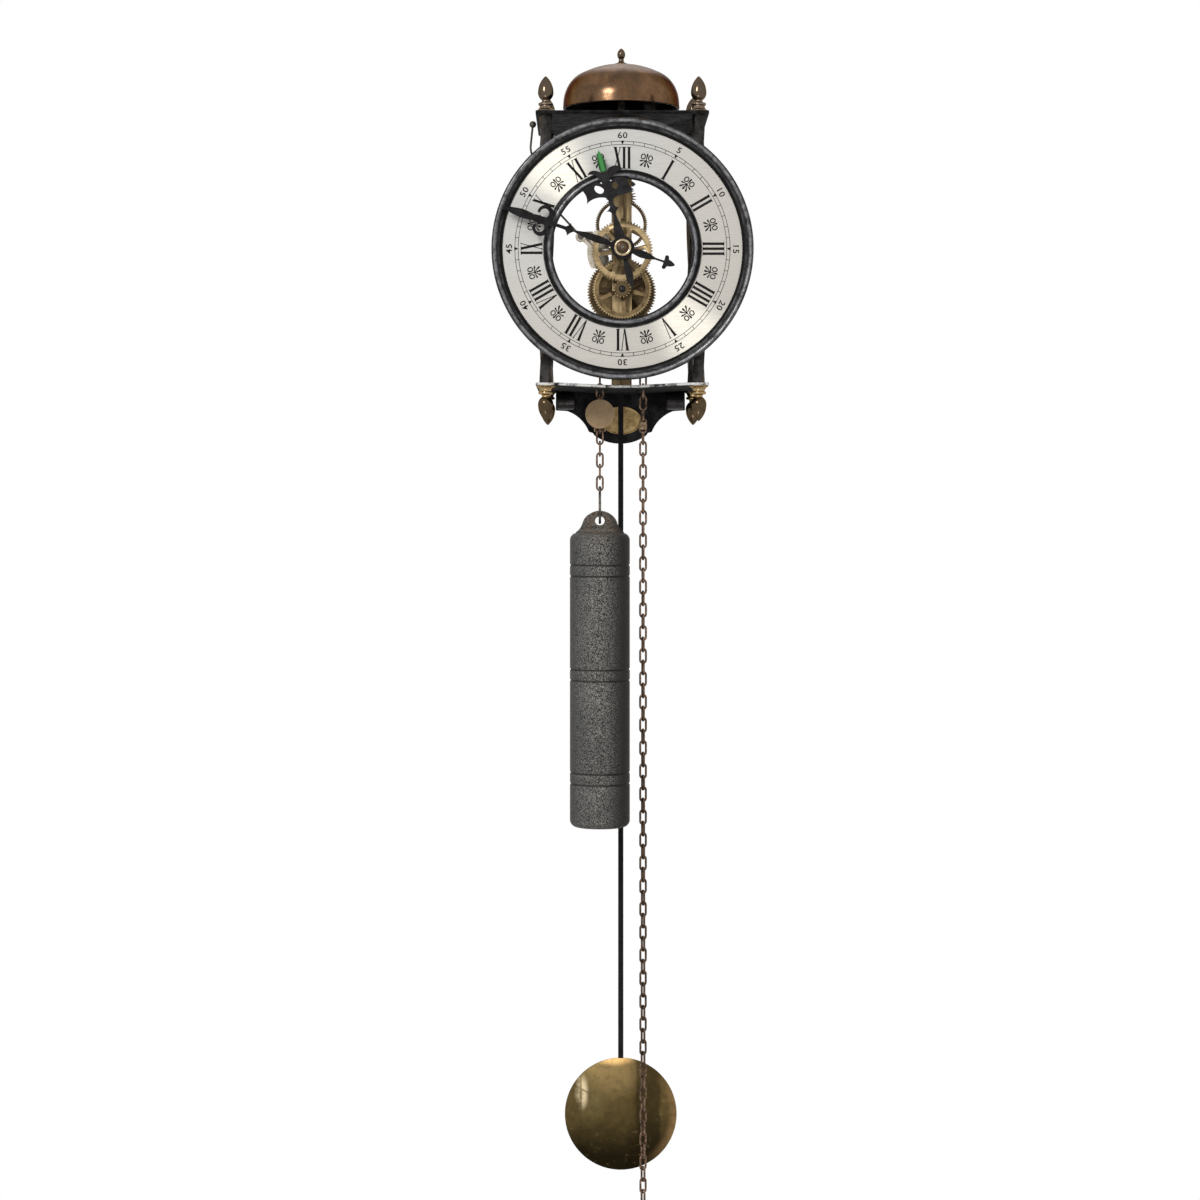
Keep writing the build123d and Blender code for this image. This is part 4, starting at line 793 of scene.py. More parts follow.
def lathe(name, profile, axis, spots, segments=96, closed=False):
    """Turned piece: (radius, distance along the axis) in millimetres, made once for each spot."""
    shape = bmesh.new()
    for side, depth, height in spots:
        rings = []
        for radius, along in profile:
            ring = []
            for number in range(segments if radius > 1e-6 else 1):
                angle = 2 * pi * number / segments
                x, y = radius * cos(angle), radius * sin(angle)
                back, up = (y, along) if axis == "up" else (along, y)
                ring.append(shape.verts.new(place(side + x, depth + back, height + up)))
            rings.append(ring)
        bridge(shape, rings, closed)
    return make_object(name, mesh_of(name, shape))


print("lathe ready")

# %% [markdown]
# The plates, bars and apron are sheet and bar iron or brass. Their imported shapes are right, but a
# real edge is never knife-sharp: it is filed, and the light catches it. A Bevel modifier would
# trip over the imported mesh's loose triangles, so a copy is merged into one skin first, and only
# its sharp edges get a small bevel.

# %% Filed edges


def merged_copy(node):
    """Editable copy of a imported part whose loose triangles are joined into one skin."""
    shape = bmesh.new()
    shape.from_mesh(frame["nodes"][node].data)
    bmesh.ops.remove_doubles(shape, verts=shape.verts, dist=1e-6)
    return shape


def clear_flats(shape):
    """Take the lines out of flat faces."""
    bmesh.ops.dissolve_limit(shape, angle_limit=radians(2), verts=shape.verts, edges=shape.edges)


def round_edges(shape, width, segments=2, angle=30):
    """Bevel every edge that turns more than an angle in degrees."""
    sharp = [edge for edge in shape.edges
             if len(edge.link_faces) == 2 and edge.calc_face_angle() > radians(angle)]
    bmesh.ops.bevel(shape, geom=sharp, offset=width * mm, segments=segments, affect="EDGES",
                    clamp_overlap=True)


def softened(node, name, width):
    """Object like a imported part, with its edges rounded unless the width is nought."""
    shape = merged_copy(node)
    clear_flats(shape)
    if width:
        round_edges(shape, width)
    return make_object(name, mesh_of(name, shape, outwards=False))


print("edge helpers ready")

# %% [markdown]
# Each plate, bar and bracket now gets the edge that its size asks for, in millimetres. The apron's
# top also goes a little way into the plate above it, so that no light passes between the two.

# %% Plates, bars and brackets
filed = {"bottom_plate": 0.3, "top_plate": 0.3, "front_bar": 0.25, "rear_bar": 0.25, "apron": 0.3,
         "wall_hanger": 0.3, "hammer_bracket": 0.15, "lever_cock": 0.15,
         "rod_end_block": 0.25, "pendulum_rod": 0.2, "crutch": 0.12}
filed_paint = {"bottom_plate": plate_paint(), "front_bar": bar_paint(),
               "top_plate": finishes["sooty_iron"], "apron": finishes["sooty_iron"],
               "wall_hanger": finishes["sooty_iron"]}
filed_paint["rear_bar"] = filed_paint["front_bar"]
apron_rise = 0.3
for node, width in filed.items():
    piece = show(softened(node, "filed_" + node, width), node, filed_paint.get(node))
    if node == "apron":
        for vert in piece.data.vertices:
            if vert.co.z > place(0, 0, -80).z:
                vert.co.z += apron_rise * mm
print("filed parts:", len(filed))

# %% [markdown]
# Each pillar is a square bar that was heated and twisted. It could be one long box with a Simple
# Deform modifier, but its shape follows a rule, and so do the dial's print and the chain. Geometry
# Nodes suit rules. This class builds a tree of them with named inputs, and turns the result into a
# plain mesh, because the export keeps no modifiers or instances.

# %% Geometry helper


class Recipe:
    """A Geometry Nodes tree with named inputs, baked into a plain mesh."""

    def __init__(self, name):
        self.tree = bpy.data.node_groups.new(name, "GeometryNodeTree")
        self.tree.interface.new_socket("Geometry", in_out="OUTPUT",
                                       socket_type="NodeSocketGeometry")
        self.entry = self.tree.nodes.new("NodeGroupInput")
        self.exit = self.tree.nodes.new("NodeGroupOutput")

    def ask(self, name, kind, value):
        """Add a named input and give its socket."""
        socket = self.tree.interface.new_socket(name, in_out="INPUT",
                                                socket_type="NodeSocket" + kind)
        socket.default_value = value
        return self.entry.outputs[name]

    def add(self, kind, settings=None, output=0, **named):
        """Add a node, set it up and feed its sockets by name."""
        node = self.tree.nodes.new(kind)
        for name, value in (settings or {}).items():
            setattr(node, name, value)
        for name, value in named.items():
            wanted = [socket for socket in node.inputs
                      if socket.name == name.replace("_", " ") and socket.enabled]
            if isinstance(value, bpy.types.NodeSocket):
                self.tree.links.new(value, wanted[0])
            else:
                wanted[0].default_value = value
        return [socket for socket in node.outputs if socket.enabled][output]

    def maths(self, operation, first, second):
        """Sum, product or remainder of two numbers."""
        node = self.tree.nodes.new("ShaderNodeMath")
        node.operation = operation
        for socket, value in zip(node.inputs, (first, second)):
            if isinstance(value, bpy.types.NodeSocket):
                self.tree.links.new(value, socket)
            else:
                socket.default_value = value
        return node.outputs[0]

    def bake(self, name, geometry, material, **inputs):
        """Realize the result, give it its material and turn it into a plain mesh."""
        real = self.add("GeometryNodeRealizeInstances", Geometry=geometry)
        painted = self.add("GeometryNodeSetMaterial", Geometry=real, Material=material)
        self.tree.links.new(painted, self.exit.inputs[0])
        holder = linked(name + "_holder", bpy.data.meshes.new(name + "_holder"))
        modifier = holder.modifiers.new("recipe", "NODES")
        modifier.node_group = self.tree
        for label, value in inputs.items():
            socket = self.tree.interface.items_tree[label.replace("_", " ")]
            modifier[socket.identifier] = value
        mesh = applied_mesh(holder)
        holder.modifiers.remove(modifier)
        bpy.data.objects.remove(holder)
        mesh.name = name
        return mesh


print("geometry helper ready")

# %% [markdown]
# For a pillar, a line is cut into many steps, each step is tilted a little more than the last, and
# a square with rounded corners is drawn along it. One bar is made, then copied to the four
# corners.

# %% Twisted pillars
pillar_width = 6.2
pillar_round = 0.55
pillar_turn = radians(215)
pillar_first = radians(19)
pillar_low, pillar_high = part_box("pillars")
pillar_reach = pillar_high[2] - pillar_low[2]
pillar_spots = [(side, depth) for side in (-pillar_side, pillar_side) for depth in (11.8, 92.2)]
twist = Recipe("twisted_bar")
turn = twist.ask("Turn", "Float", pillar_turn)
start = twist.ask("Start", "Float", pillar_first)
steps = twist.ask("Steps", "Int", 90)
line = twist.add("GeometryNodeCurvePrimitiveLine", Start=(0, 0, 0), End=(0, 0, pillar_reach))
fine_line = twist.add("GeometryNodeResampleCurve", Curve=line, Count=steps)
along = twist.add("GeometryNodeSplineParameter")
tilt = twist.maths("ADD", twist.maths("MULTIPLY", twist.maths("SUBTRACT", along, 1.0), turn), start)
turned = twist.add("GeometryNodeSetCurveTilt", Curve=fine_line, Tilt=tilt)
square = twist.add("GeometryNodeCurvePrimitiveQuadrilateral", Width=pillar_width * mm,
                   Height=pillar_width * mm)
rounded = twist.add("GeometryNodeFilletCurve", {"mode": "POLY"}, Curve=square, Count=3,
                    Radius=pillar_round * mm)
bar = twist.add("GeometryNodeCurveToMesh", Curve=turned, Profile_Curve=rounded, Fill_Caps=True)
pillar_mesh = twist.bake("twisted_bar", bar, finishes["iron"], Turn=pillar_turn)
pillar_shape = bmesh.new()
for side, depth in pillar_spots:
    one = pillar_mesh.copy()
    one.transform(Matrix.Translation(Vector((side * mm, dial_face + depth * mm, pillar_low[2]))))
    pillar_shape.from_mesh(one)
    bpy.data.meshes.remove(one)
all_pillars = mesh_of("pillars_twisted", pillar_shape, outwards=False)
show(make_object("pillars_twisted", all_pillars, smooth=50), "pillars", finishes["pillar_iron"])
print("pillar faces:", len(all_pillars.polygons))

# %% [markdown]
# The finials are turned brass, with a foot, a collar, a narrow neck and a pointed bulb. The lathe
# helper needs their outline of radius against height. Curves through three points give it true
# arcs, where a few typed points would leave corners. The lower four are the same outline, hanging
# down.

# %% Finials
finial_foot = [(0, 0), (5.4, 0), (5.6, 0.15), (5.6, 0.5)]
finial_outline = (finial_foot + arc((5.6, 0.5), (4.1, 1.6), (3.4, 3.3))
                  + arc((3.4, 3.3), (4.3, 4.2), (3.4, 5.1))
                  + arc((3.4, 5.1), (2.35, 5.6), (2.35, 6.6), 6)
                  + arc((2.35, 6.6), (4.005, 8.6), (4.45, 11.6))
                  + arc((4.45, 11.6), (3.25, 16.45), (0.3, 20.4), 14) + [(0, 20.45)])
top_spots = [(side, depth, top_face) for side, depth in pillar_spots]
low_spots = [(side, depth, bottom_face) for side, depth in pillar_spots]
show(lathe("finials_over_plate", finial_outline, "up", top_spots, segments=48), "finials_top")
hanging = [(radius, -along) for radius, along in finial_outline]
show(lathe("finials_under_plate", hanging, "up", low_spots, segments=48), "finials_bottom")
print("finials:", len(top_spots) + len(low_spots))

# %% [markdown]
# The bell is a thin shell: a skirt that leans inwards, a round shoulder and a shallow crown. Half
# of a squashed sphere would be quicker, but its edge would be solid. Here the outline runs up the
# outside and back down the inside, so the rim shows its real thickness from below.

# %% Bell and its nut
crown_top = 26.5
bell_outer = [(bell_r, 0.25), (bell_r, 0.9), (34.45, 3.0)]
bell_outer += arc((34.45, 3.0), (33.5, 9.4), (31.0, 14.7), 12)
bell_outer += arc((31.0, 14.7), (27.8, 18.3), (22.6, 21.4), 12)
bell_outer += arc((22.6, 21.4), (12.3, 25.1), (0, crown_top), 14)
bell_inner = arc((0, 24.7), (11.6, 23.2), (21.6, 19.6), 12)
bell_inner += arc((21.6, 19.6), (26.9, 16.2), (30.05, 10.8), 10) + [(32.75, 0.0), (34.35, 0.0)]
bell_hole = [(1.05, 26.45), (1.05, 24.65)]
bell_piece = lathe("bell_shell", bell_outer[:-1] + bell_hole + bell_inner, "up",
                   [(0, bell_depth, rim_height)], segments=160, closed=True)
show(bell_piece, "bell")
nut_outline = [(0, 0.05), (3.55, 0.05), (3.7, 0.2), (3.7, 0.6)]
nut_outline += arc((3.7, 0.6), (1.9, 1.5), (1.5, 3.4))
nut_outline += arc((1.5, 3.4), (2.35, 5.6), (0.3, 9.6), 14) + [(0, 9.62)]
show(lathe("bell_finial", nut_outline, "up", [(0, bell_depth, rim_height + crown_top)],
           segments=48), "bell_nut")
print("bell:", len(bell_piece.data.polygons), "faces")

# %% [markdown]
# The dial sits in a cast ring with a hollow and a ridge with a painted highlight, and a second,
# rounded ring covers its inner edge. Both are closed outlines on the lathe, because neither reaches
# the axis.
# Four short posts carry the outer ring on the front pillars.

# %% Bezel and inner ring
bezel_outline = [(69.75, 0.0), (68.8, 0.0), (68.8, -0.5), (68.9, -0.6)]
bezel_outline += arc((68.9, -0.6), (71.1, -1.1), (72.2, -3.0), 12)
bezel_outline += arc((72.2, -3.0), (73.6, -4.0), (75.1, -2.4), 12)
bezel_outline += [(75.1, 3.3), (74.8, 3.6), (69.75, 3.6)]
bezel_piece = lathe("bezel_ring", bezel_outline, "deep", [(0, 0, 0)], segments=200, closed=True)
show(bezel_piece, "bezel", finishes["ring_pewter"])
inner_outline = [(40.2, 2.0), (40.2, -0.6)] + arc((40.2, -0.6), (42.0, -2.2), (43.8, -0.9), 14)
inner_outline += [(45.4, -0.5), (45.5, -0.4), (45.5, 0.0), (44.45, 0.0), (44.45, 2.0)]
show(lathe("inner_ring", inner_outline, "deep", [(0, 0, 0)], segments=160, closed=True),
     "bead_ring", inner_pewter)
post_height = 55.5
post_spots = [(side, 3.5, height) for height in (-post_height, post_height)
              for side in (-pillar_side, pillar_side)]
post_outline = [(0, 0), (1.8, 0), (1.8, 4.3), (1.5, 4.6), (0, 4.6)]
join_on(lathe("bezel_posts", post_outline, "deep", post_spots, segments=32), "bezel",
        finishes["ring_pewter"])
print("rings:", len(bezel_piece.data.polygons), "faces")

# %% [markdown]
# The weight is an iron cylinder with rounded ends and three pairs of shallow grooves. Bump alone
# could draw the grooves, but they would vanish at the weight's edge, so they are cut into the
# outline, each with softened lips.

# %% Weight
weight_r = 17.7
shoulder = 4.2
weight_low, weight_high = -337.0, -163.6
turn_in = shoulder * 0.29
groove_lips = [(0.0, -0.85), (0.08, -0.7), (0.42, -0.2), (0.42, 0.2), (0.08, 0.7), (0.0, 0.85)]
weight_outline = [(0, weight_low), (weight_r - shoulder, weight_low)]
weight_outline += arc((weight_r - shoulder, weight_low), (weight_r - turn_in, weight_low + turn_in),
                      (weight_r, weight_low + shoulder))
for height in groove_heights:
    weight_outline += [(weight_r - cut, height + rise) for cut, rise in groove_lips]
weight_outline += [(weight_r, weight_high - shoulder)]
weight_outline += arc((weight_r, weight_high - shoulder),
                      (weight_r - turn_in, weight_high - turn_in),
                      (weight_r - shoulder, weight_high))
weight_outline += [(0, weight_high)]
weight_piece = lathe("weight_body", weight_outline, "up", [(weight_side, chain_depth, 0)])
show(weight_piece, "weight")
print("weight:", len(weight_piece.data.polygons), "faces")

# %% [markdown]
# A pierced lug stands on the weight for the hook. Its packed outline is fine already, so the copy
# is cut at the height of the weight's shoulders and what is left is widened a little. Its
# round-over is large, because a cast lug is soft all over.

# %% Weight's lug
lug_half_depth = 2.6
lug_widening = 1.08
lug_shape = merged_copy("weight")
everything = lug_shape.verts[:] + lug_shape.edges[:] + lug_shape.faces[:]
bmesh.ops.bisect_plane(lug_shape, geom=everything, plane_co=place(0, 0, weight_high - 0.3),
                       plane_no=(0, 0, 1), clear_inner=True)
beside = [vert for vert in lug_shape.verts
          if abs(vert.co.y - place(0, chain_depth, 0).y) > lug_half_depth * mm]
bmesh.ops.delete(lug_shape, geom=beside, context="VERTS")
clear_flats(lug_shape)
for vert in lug_shape.verts:
    vert.co.x = weight_side * mm + (vert.co.x - weight_side * mm) * lug_widening
round_edges(lug_shape, 0.9, 3, 40)
lug_mesh = mesh_of("weight_lug", lug_shape, outwards=False)
join_on(make_object("weight_lug", lug_mesh), "weight", finishes["weight_iron"])
print("lug:", len(lug_mesh.polygons), "faces")

# %% [markdown]
# The wheels, hands and most small parts are cut from sheet or turned small. Their packed outlines
# carry every tooth, so drawing them again would gain nothing: a copy with rounded edges is enough,
# and the rounding follows the part. A gear's tooth is nearly sharp, a roll of iron is soft.

# %% Wheels, hands and small parts with rounded edges
rounded_parts = {"centre_wheel": 0.1, "great_wheel": 0.1, "third_wheel": 0.1,
                 "escape_wheel": 0.06, "hour_wheel": 0.1, "minute_wheel": 0.1,
                 "cannon_pinion": 0.08, "strike_cam": 0.12, "hour_hand": 0.22,
                 "minute_hand": 0.22, "sprocket": 0.12, "click": 0.15, "pallets": 0.12,
                 "centre_arbor": 0.08, "great_arbor": 0.1, "third_arbor": 0.06,
                 "escape_arbor": 0.06, "pallet_arbor": 0.1, "minute_post": 0.12, "bell_post": 0.2,
                 "hammer": 0.2, "lever_screw": 0.2, "strike_lever": 0.15, "stop_disc": 0.3,
                 "apron_rolls": 0.5, "wall_pads": 0.3, "suspension_spring": 0.05,
                 "hand_nut": 0.25, "weight_hook": 0.0}
own_paint = {"hour_hand": hour_hand_paint(), "apron_rolls": finishes["roll_iron"],
             "minute_post": finishes["roll_iron"], **wheel_finish}
for node, width in rounded_parts.items():
    show(softened(node, "rounded_" + node, width), node, own_paint.get(node))
print("rounded parts:", len(rounded_parts))

# %% [markdown]
# Behind the great wheel's crossings the movement is dark. A thin black ring there closes the slits
# that would let the pale background shine between the wheels.

# %% Dark ring behind the great wheel
great_back = 37.6
ring_outline = [(14.4, great_back + 0.05), (14.4, great_back + 0.4), (17.4, great_back + 0.4),
                (17.4, great_back + 0.05)]
great_ring = lathe("great_wheel_ring", ring_outline, "deep", [(0, 0, -great_drop)], closed=True)
join_on(great_ring, "great_wheel", finishes["iron"])
print("dark ring:", len(great_ring.data.polygons), "faces")

# %% [markdown]
# A turned brass collet holds the minute hand, on the hand's round black hub. Its rim is a bright
# half-round, and its middle is a brown recess around the nut. All of it is round, so it comes from
# the lathe, and the hub's rim is a washer beside it.

# %% Collet and hub rim
collet_outline = [(1.06, -7.45), (4.9, -7.45), (5.0, -7.6), (5.0, -7.9)]
collet_outline += arc((5.0, -7.9), (4.3, -8.8), (3.5, -8.6), 8)
collet_outline += [(3.2, -8.0), (2.7, -8.2), (2.2, -8.22), (1.06, -8.22)]
collet = lathe("collet_turned", collet_outline, "deep", [(0, 0, 0)], segments=72, closed=True)
show(collet, "hand_collet", collet_paint())
washer = [(5.0, -7.42), (6.3, -7.42), (6.6, -7.2), (6.6, -6.6), (6.3, -6.4), (5.0, -6.4)]
hub_rim = lathe("hub_rim", washer, "deep", [(0, 0, 0)], segments=72, closed=True)
join_on(hub_rim, "minute_hand", finishes["hand_black"])
print("collet:", len(collet.data.polygons), "faces")

# %% [markdown]
# The oval plaque on the apron was pressed from sheet brass: slightly domed, inside a raised rim.
# The lathe only makes circles, so ovals of points are set at a share of its width and at their own
# rise, and the helper that joins the lathe's rings joins these.

# %% Plaque
plaque_low, plaque_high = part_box("plaque")
plaque_middle = (Vector(plaque_low) + Vector(plaque_high)) / 2
half_wide, half_high = (plaque_high[0] - plaque_low[0]) / 2, (plaque_high[2] - plaque_low[2]) / 2
levels = [(0.0, 0.22), (0.4, 0.2), (0.7, 0.12), (0.9, 0.05), (0.93, 0.3), (0.955, 0.36),
          (0.985, 0.3), (1.0, 0.1), (1.0, -0.38), (0.0, -0.4)]
plaque_shape = bmesh.new()
ovals = []
for share, rise in levels:
    angles = [2 * pi * number / 96 for number in range(96 if share else 1)]
    ovals.append([plaque_shape.verts.new((plaque_middle.x + half_wide * share * cos(angle),
                                          plaque_middle.y - rise * mm,
                                          plaque_middle.z + half_high * share * sin(angle)))
                  for angle in angles])
bridge(plaque_shape, ovals)
show(make_object("plaque_domed", mesh_of("plaque_domed", plaque_shape)), "plaque")
print("plaque:", round(2 * half_wide / mm, 1), "by", round(2 * half_high / mm, 1), "mm")

# %% [markdown]
# The dial is a flat ring of silvered brass on four feet that reach back to the front pillars. Its
# edges are broken by a twentieth of a millimetre, which is enough to catch a line of light.

# %% Dial plate
dial_outline = [(44.6, 0.05), (44.65, 0.0), (69.55, 0.0), (69.6, 0.05), (69.6, 1.0), (44.6, 1.0)]
show(lathe("dial_plate", dial_outline, "deep", [(0, 0, 0)], segments=200, closed=True), "dial")
foot_height = 40
foot_outline = [(0, 0.9), (1.8, 0.9), (1.8, 8.9), (1.6, 9.1), (0, 9.1)]
foot_spots = [(side, 0, height) for height in (-foot_height, foot_height)
              for side in (-pillar_side, pillar_side)]
join_on(lathe("dial_feet", foot_outline, "deep", foot_spots, segments=32), "dial",
        finishes["steel"])
print("dial feet:", len(foot_spots))

# %% [markdown]
# The dial's print is a thin black skin. It could be an image, but an image blurs when the camera
# comes near, so it is made as real shapes that stand a few hundredths of a millimetre proud. A
# piece of print is a flat outline at a clock angle, with x along the track and y outwards.

# %% Print helpers
print_front, print_back = -0.04, 0.2


def prism(shape, outline, turn=0.0, hole=None):
    """Add one flat piece of print; a hole has as many points as the outline."""
    loops = []
    for points in (outline, hole) if hole else (outline,):
        spots = [(x * cos(turn) + y * sin(turn), y * cos(turn) - x * sin(turn)) for x, y in points]
        loops.append([[shape.verts.new(place(x, depth, z)) for x, z in spots]
                      for depth in (print_front, print_back)])
    size = len(outline)
    for front, back in loops:
        for n in range(size):
            shape.faces.new((front[n - 1], front[n], back[n], back[n - 1]))
    for level in (0, 1):
        if hole:
            outer, inner = loops[0][level], loops[1][level]
            for n in range(size):
                shape.faces.new((outer[n - 1], outer[n], inner[n], inner[n - 1]))
        else:
            shape.faces.new(loops[0][level])


def printed(name, shape):
    """Give finished print to the dial."""
    return join_on(make_object(name, mesh_of(name, shape), smooth=60), "dial", finishes["ink"])


print("print helpers ready")

# %% [markdown]
# What repeats round the dial is drawn once, at twelve o'clock. A loop could place the copies, but
# Geometry Nodes do it with two named numbers: how many copies, and the angle of the first. All the
# points lie at the dial's centre, and each copy is only turned.

# %% Copies round the dial


def ring_of(name, piece, count, first_angle):
    """Copies of a piece drawn at twelve o'clock, repeated round the dial by Geometry Nodes."""
    holder = linked(name + "_piece", piece)
    middle = place(0, 0, 0)
    piece.transform(Matrix.Translation(-middle))
    ring = Recipe(name)
    number = ring.ask("Copies", "Int", count)
    first = ring.ask("First angle", "Float", radians(first_angle))
    points = ring.add("GeometryNodeMeshLine", {"mode": "OFFSET"}, Count=number, Offset=(0, 0, 0),
                      Start_Location=middle)
    index = ring.add("GeometryNodeInputIndex")
    angle = ring.maths("ADD", ring.maths("MULTIPLY", index, 2 * pi / count), first)
    rotation = ring.add("ShaderNodeCombineXYZ", Y=angle)
    shape = ring.add("GeometryNodeObjectInfo", {"transform_space": "ORIGINAL"}, output=-1,
                     Object=holder)
    copies = ring.add("GeometryNodeInstanceOnPoints", Points=points, Instance=shape,
                      Rotation=rotation)
    mesh = ring.bake(name, copies, finishes["ink"], Copies=count, First_angle=radians(first_angle))
    bpy.data.objects.remove(holder)
    return join_on(make_object(name, mesh, smooth=60), "dial", finishes["ink"])


print("ring helper ready")

# %% [markdown]
# The minute track is two circles with a tick each minute and a small wedge each five. Sixty ticks
# follow a rule, so one is drawn at twelve o'clock and Geometry Nodes repeat it round the dial.

# %% Minute track
track_in, track_out = 59.8, 61.7
half_line = 0.15


def circle(radius, count=24, x=0.0, y=0.0, squash=1.0):
    """Points round a circle or an upright oval."""
    angles = [2 * pi * number / count for number in range(count)]
    return [(x + radius * squash * sin(angle), y + radius * cos(angle)) for angle in angles]


track_shape = bmesh.new()
for radius in (track_in, track_out):
    prism(track_shape, circle(radius + half_line, 240), hole=circle(radius - half_line, 240))
printed("track_circles", track_shape)
tick_shape = bmesh.new()
prism(tick_shape, [(-half_line, track_in), (half_line, track_in), (half_line, track_out),
                   (-half_line, track_out)])
ring_of("minute_ticks", mesh_of("minute_tick", tick_shape), 60, 0.0)
wedge_low, wedge_high, half_wedge = 59.7, 62.0, 1.05
wedge_shape = bmesh.new()
prism(wedge_shape, [(0, wedge_low), (half_wedge, wedge_high), (-half_wedge, wedge_high)])
ring_of("five_minute_wedges", mesh_of("five_minute_wedge", wedge_shape), 12, 0.0)
print("minute track made")

# %% [markdown]
# Between the hours stands an old half-hour mark: two loops, a dart up and five darts down. The
# dart is one outline, turned and stretched six times, and the whole mark is repeated like the
# ticks.

# %% Half-hour marks
mark_r, loop_r = 52.4, 54.2


def dart(turn, length, width):
    """Thin club from the mark's middle, widest near its end."""
    side = [(0.16, 0.0), (width * 0.3, length * 0.55), (width * 0.5, length * 0.8),
            (width * 0.25, length * 0.97)]
    outline = side + [(0.0, length)] + [(-across, along) for across, along in reversed(side)]
    return [(x * cos(turn) + y * sin(turn), mark_r + y * cos(turn) - x * sin(turn))
            for x, y in outline]


mark_shape = bmesh.new()
for side in (-1, 1):
    middle = {"x": side * 2.1, "y": loop_r}
    prism(mark_shape, circle(1.7, **middle, squash=0.86), hole=circle(1.1, **middle, squash=0.76))
darts = [(0, 4.0, 1.15), (180, 4.0, 1.25), (146, 4.7, 1.1), (214, 4.7, 1.1), (108, 3.8, 1.0),
         (252, 3.8, 1.0)]
for degrees_turn, length, width in darts:
    prism(mark_shape, dart(radians(degrees_turn), length, width))
ring_of("half_hour_marks", mesh_of("half_hour_mark", mark_shape), 12, 15.0)
print("darts in each mark:", len(darts))

# %% [markdown]
# Roman numerals stand with their feet towards the centre. A font could set them, but the strokes
# of an old dial are taller and finer than a font's. Each letter is a few strokes here: a thick
# one, a thin one, and hairline serifs.

# %% Roman numerals
foot_r, head_r = 45.9, 58.4
serif = 0.4
letter_width = {"I": 2.85, "V": 5.1, "X": 4.7}


def stroke(left_low, right_low, right_high, left_high, low=foot_r, high=head_r):
    """Four-cornered stroke between two heights."""
    return [(left_low, low), (right_low, low), (right_high, high), (left_high, high)]


def serif_at(left, right, top):
    """Hairline at the head or the foot of a letter."""
    low, high = (head_r - serif, head_r) if top else (foot_r, foot_r + serif)
    return stroke(left, right, right, left, low, high)


def letter_strokes(letter, x):
    """Outlines of one letter whose middle is at x."""
    if letter == "I":
        return [stroke(x - 0.74, x + 0.74, x + 0.74, x - 0.74),
                serif_at(x - 1.15, x + 1.15, False), serif_at(x - 1.15, x + 1.15, True)]
    if letter == "V":
        return [stroke(x - 0.2, x + 0.6, x - 0.75, x - 2.3),
                stroke(x + 0.1, x + 0.5, x + 2.05, x + 1.6),
                serif_at(x - 2.6, x - 0.3, True), serif_at(x + 1.2, x + 2.4, True)]
    return [stroke(x + 0.6, x + 2.1, x - 0.6, x - 2.1),
            stroke(x - 1.85, x - 1.4, x + 1.85, x + 1.4),
            serif_at(x - 2.35, x - 0.2, True), serif_at(x + 1.1, x + 2.2, True),
            serif_at(x - 2.2, x - 1.1, False), serif_at(x + 0.2, x + 2.35, False)]


roman_shape = bmesh.new()
hours = ["XII", "I", "II", "III", "IIII", "V", "VI", "VII", "VIII", "IX", "X", "XI"]
for hour, letters in enumerate(hours):
    start = -sum(letter_width[letter] for letter in letters) / 2
    for letter in letters:
        for outline in letter_strokes(letter, start + letter_width[letter] / 2):
            prism(roman_shape, outline, radians(30 * hour))
        start += letter_width[letter]
roman = printed("roman_numerals", roman_shape)
print("roman numerals:", len(roman.data.polygons), "faces")

# %% [markdown]
# The minute numbers outside the track are small and plain, so they are set as text. Each is turned
# into a mesh before it is placed, and stands with its feet towards the centre.

# %% Minute numbers
number_r, number_size, number_widening = 64.9, 4.9, 1.12
number_shape = bmesh.new()
for number in range(5, 65, 5):
    words = bpy.data.curves.new("minute_number", "FONT")
    words.body = str(number)
    words.size = number_size * mm
    words.align_x = "CENTER"
    words.align_y = "CENTER"
    words.space_character = 1.1
    words.offset = 0.07 * mm
    words.extrude = 0.06 * mm
    words.resolution_u = 3
    writer = linked("minute_number", words)
    flat = applied_mesh(writer)
    turn = radians(number * 6)
    spot = place(number_r * sin(turn), 0.02, number_r * cos(turn))
    upright = (Matrix.Rotation(radians(90), 4, "X")
               @ Matrix.Diagonal((number_widening, 1.0, 1.0, 1.0)))
    flat.transform(Matrix.Translation(spot) @ Matrix.Rotation(turn, 4, "Y") @ upright)
    number_shape.from_mesh(flat)
    bpy.data.meshes.remove(flat)
    bpy.data.objects.remove(writer)
    bpy.data.curves.remove(words)
bmesh.ops.remove_doubles(number_shape, verts=number_shape.verts, dist=1e-7)
minute_numbers = printed("minute_numbers", number_shape)
print("minute numbers:", len(minute_numbers.data.polygons), "faces")

# %% [markdown]
# The chain's links are bent from round wire, with straight sides and round ends. A curve with a
# round bevel would do, but the chain needs over a hundred links, so one link is built with as few
# faces as still look round: eight round the wire, and nine steps round each end.

# %% Chain link
link_pitch, link_wire, link_width = 6.8, 1.28, 4.8
link_inside = link_pitch + 0.3
wire_sides = 8


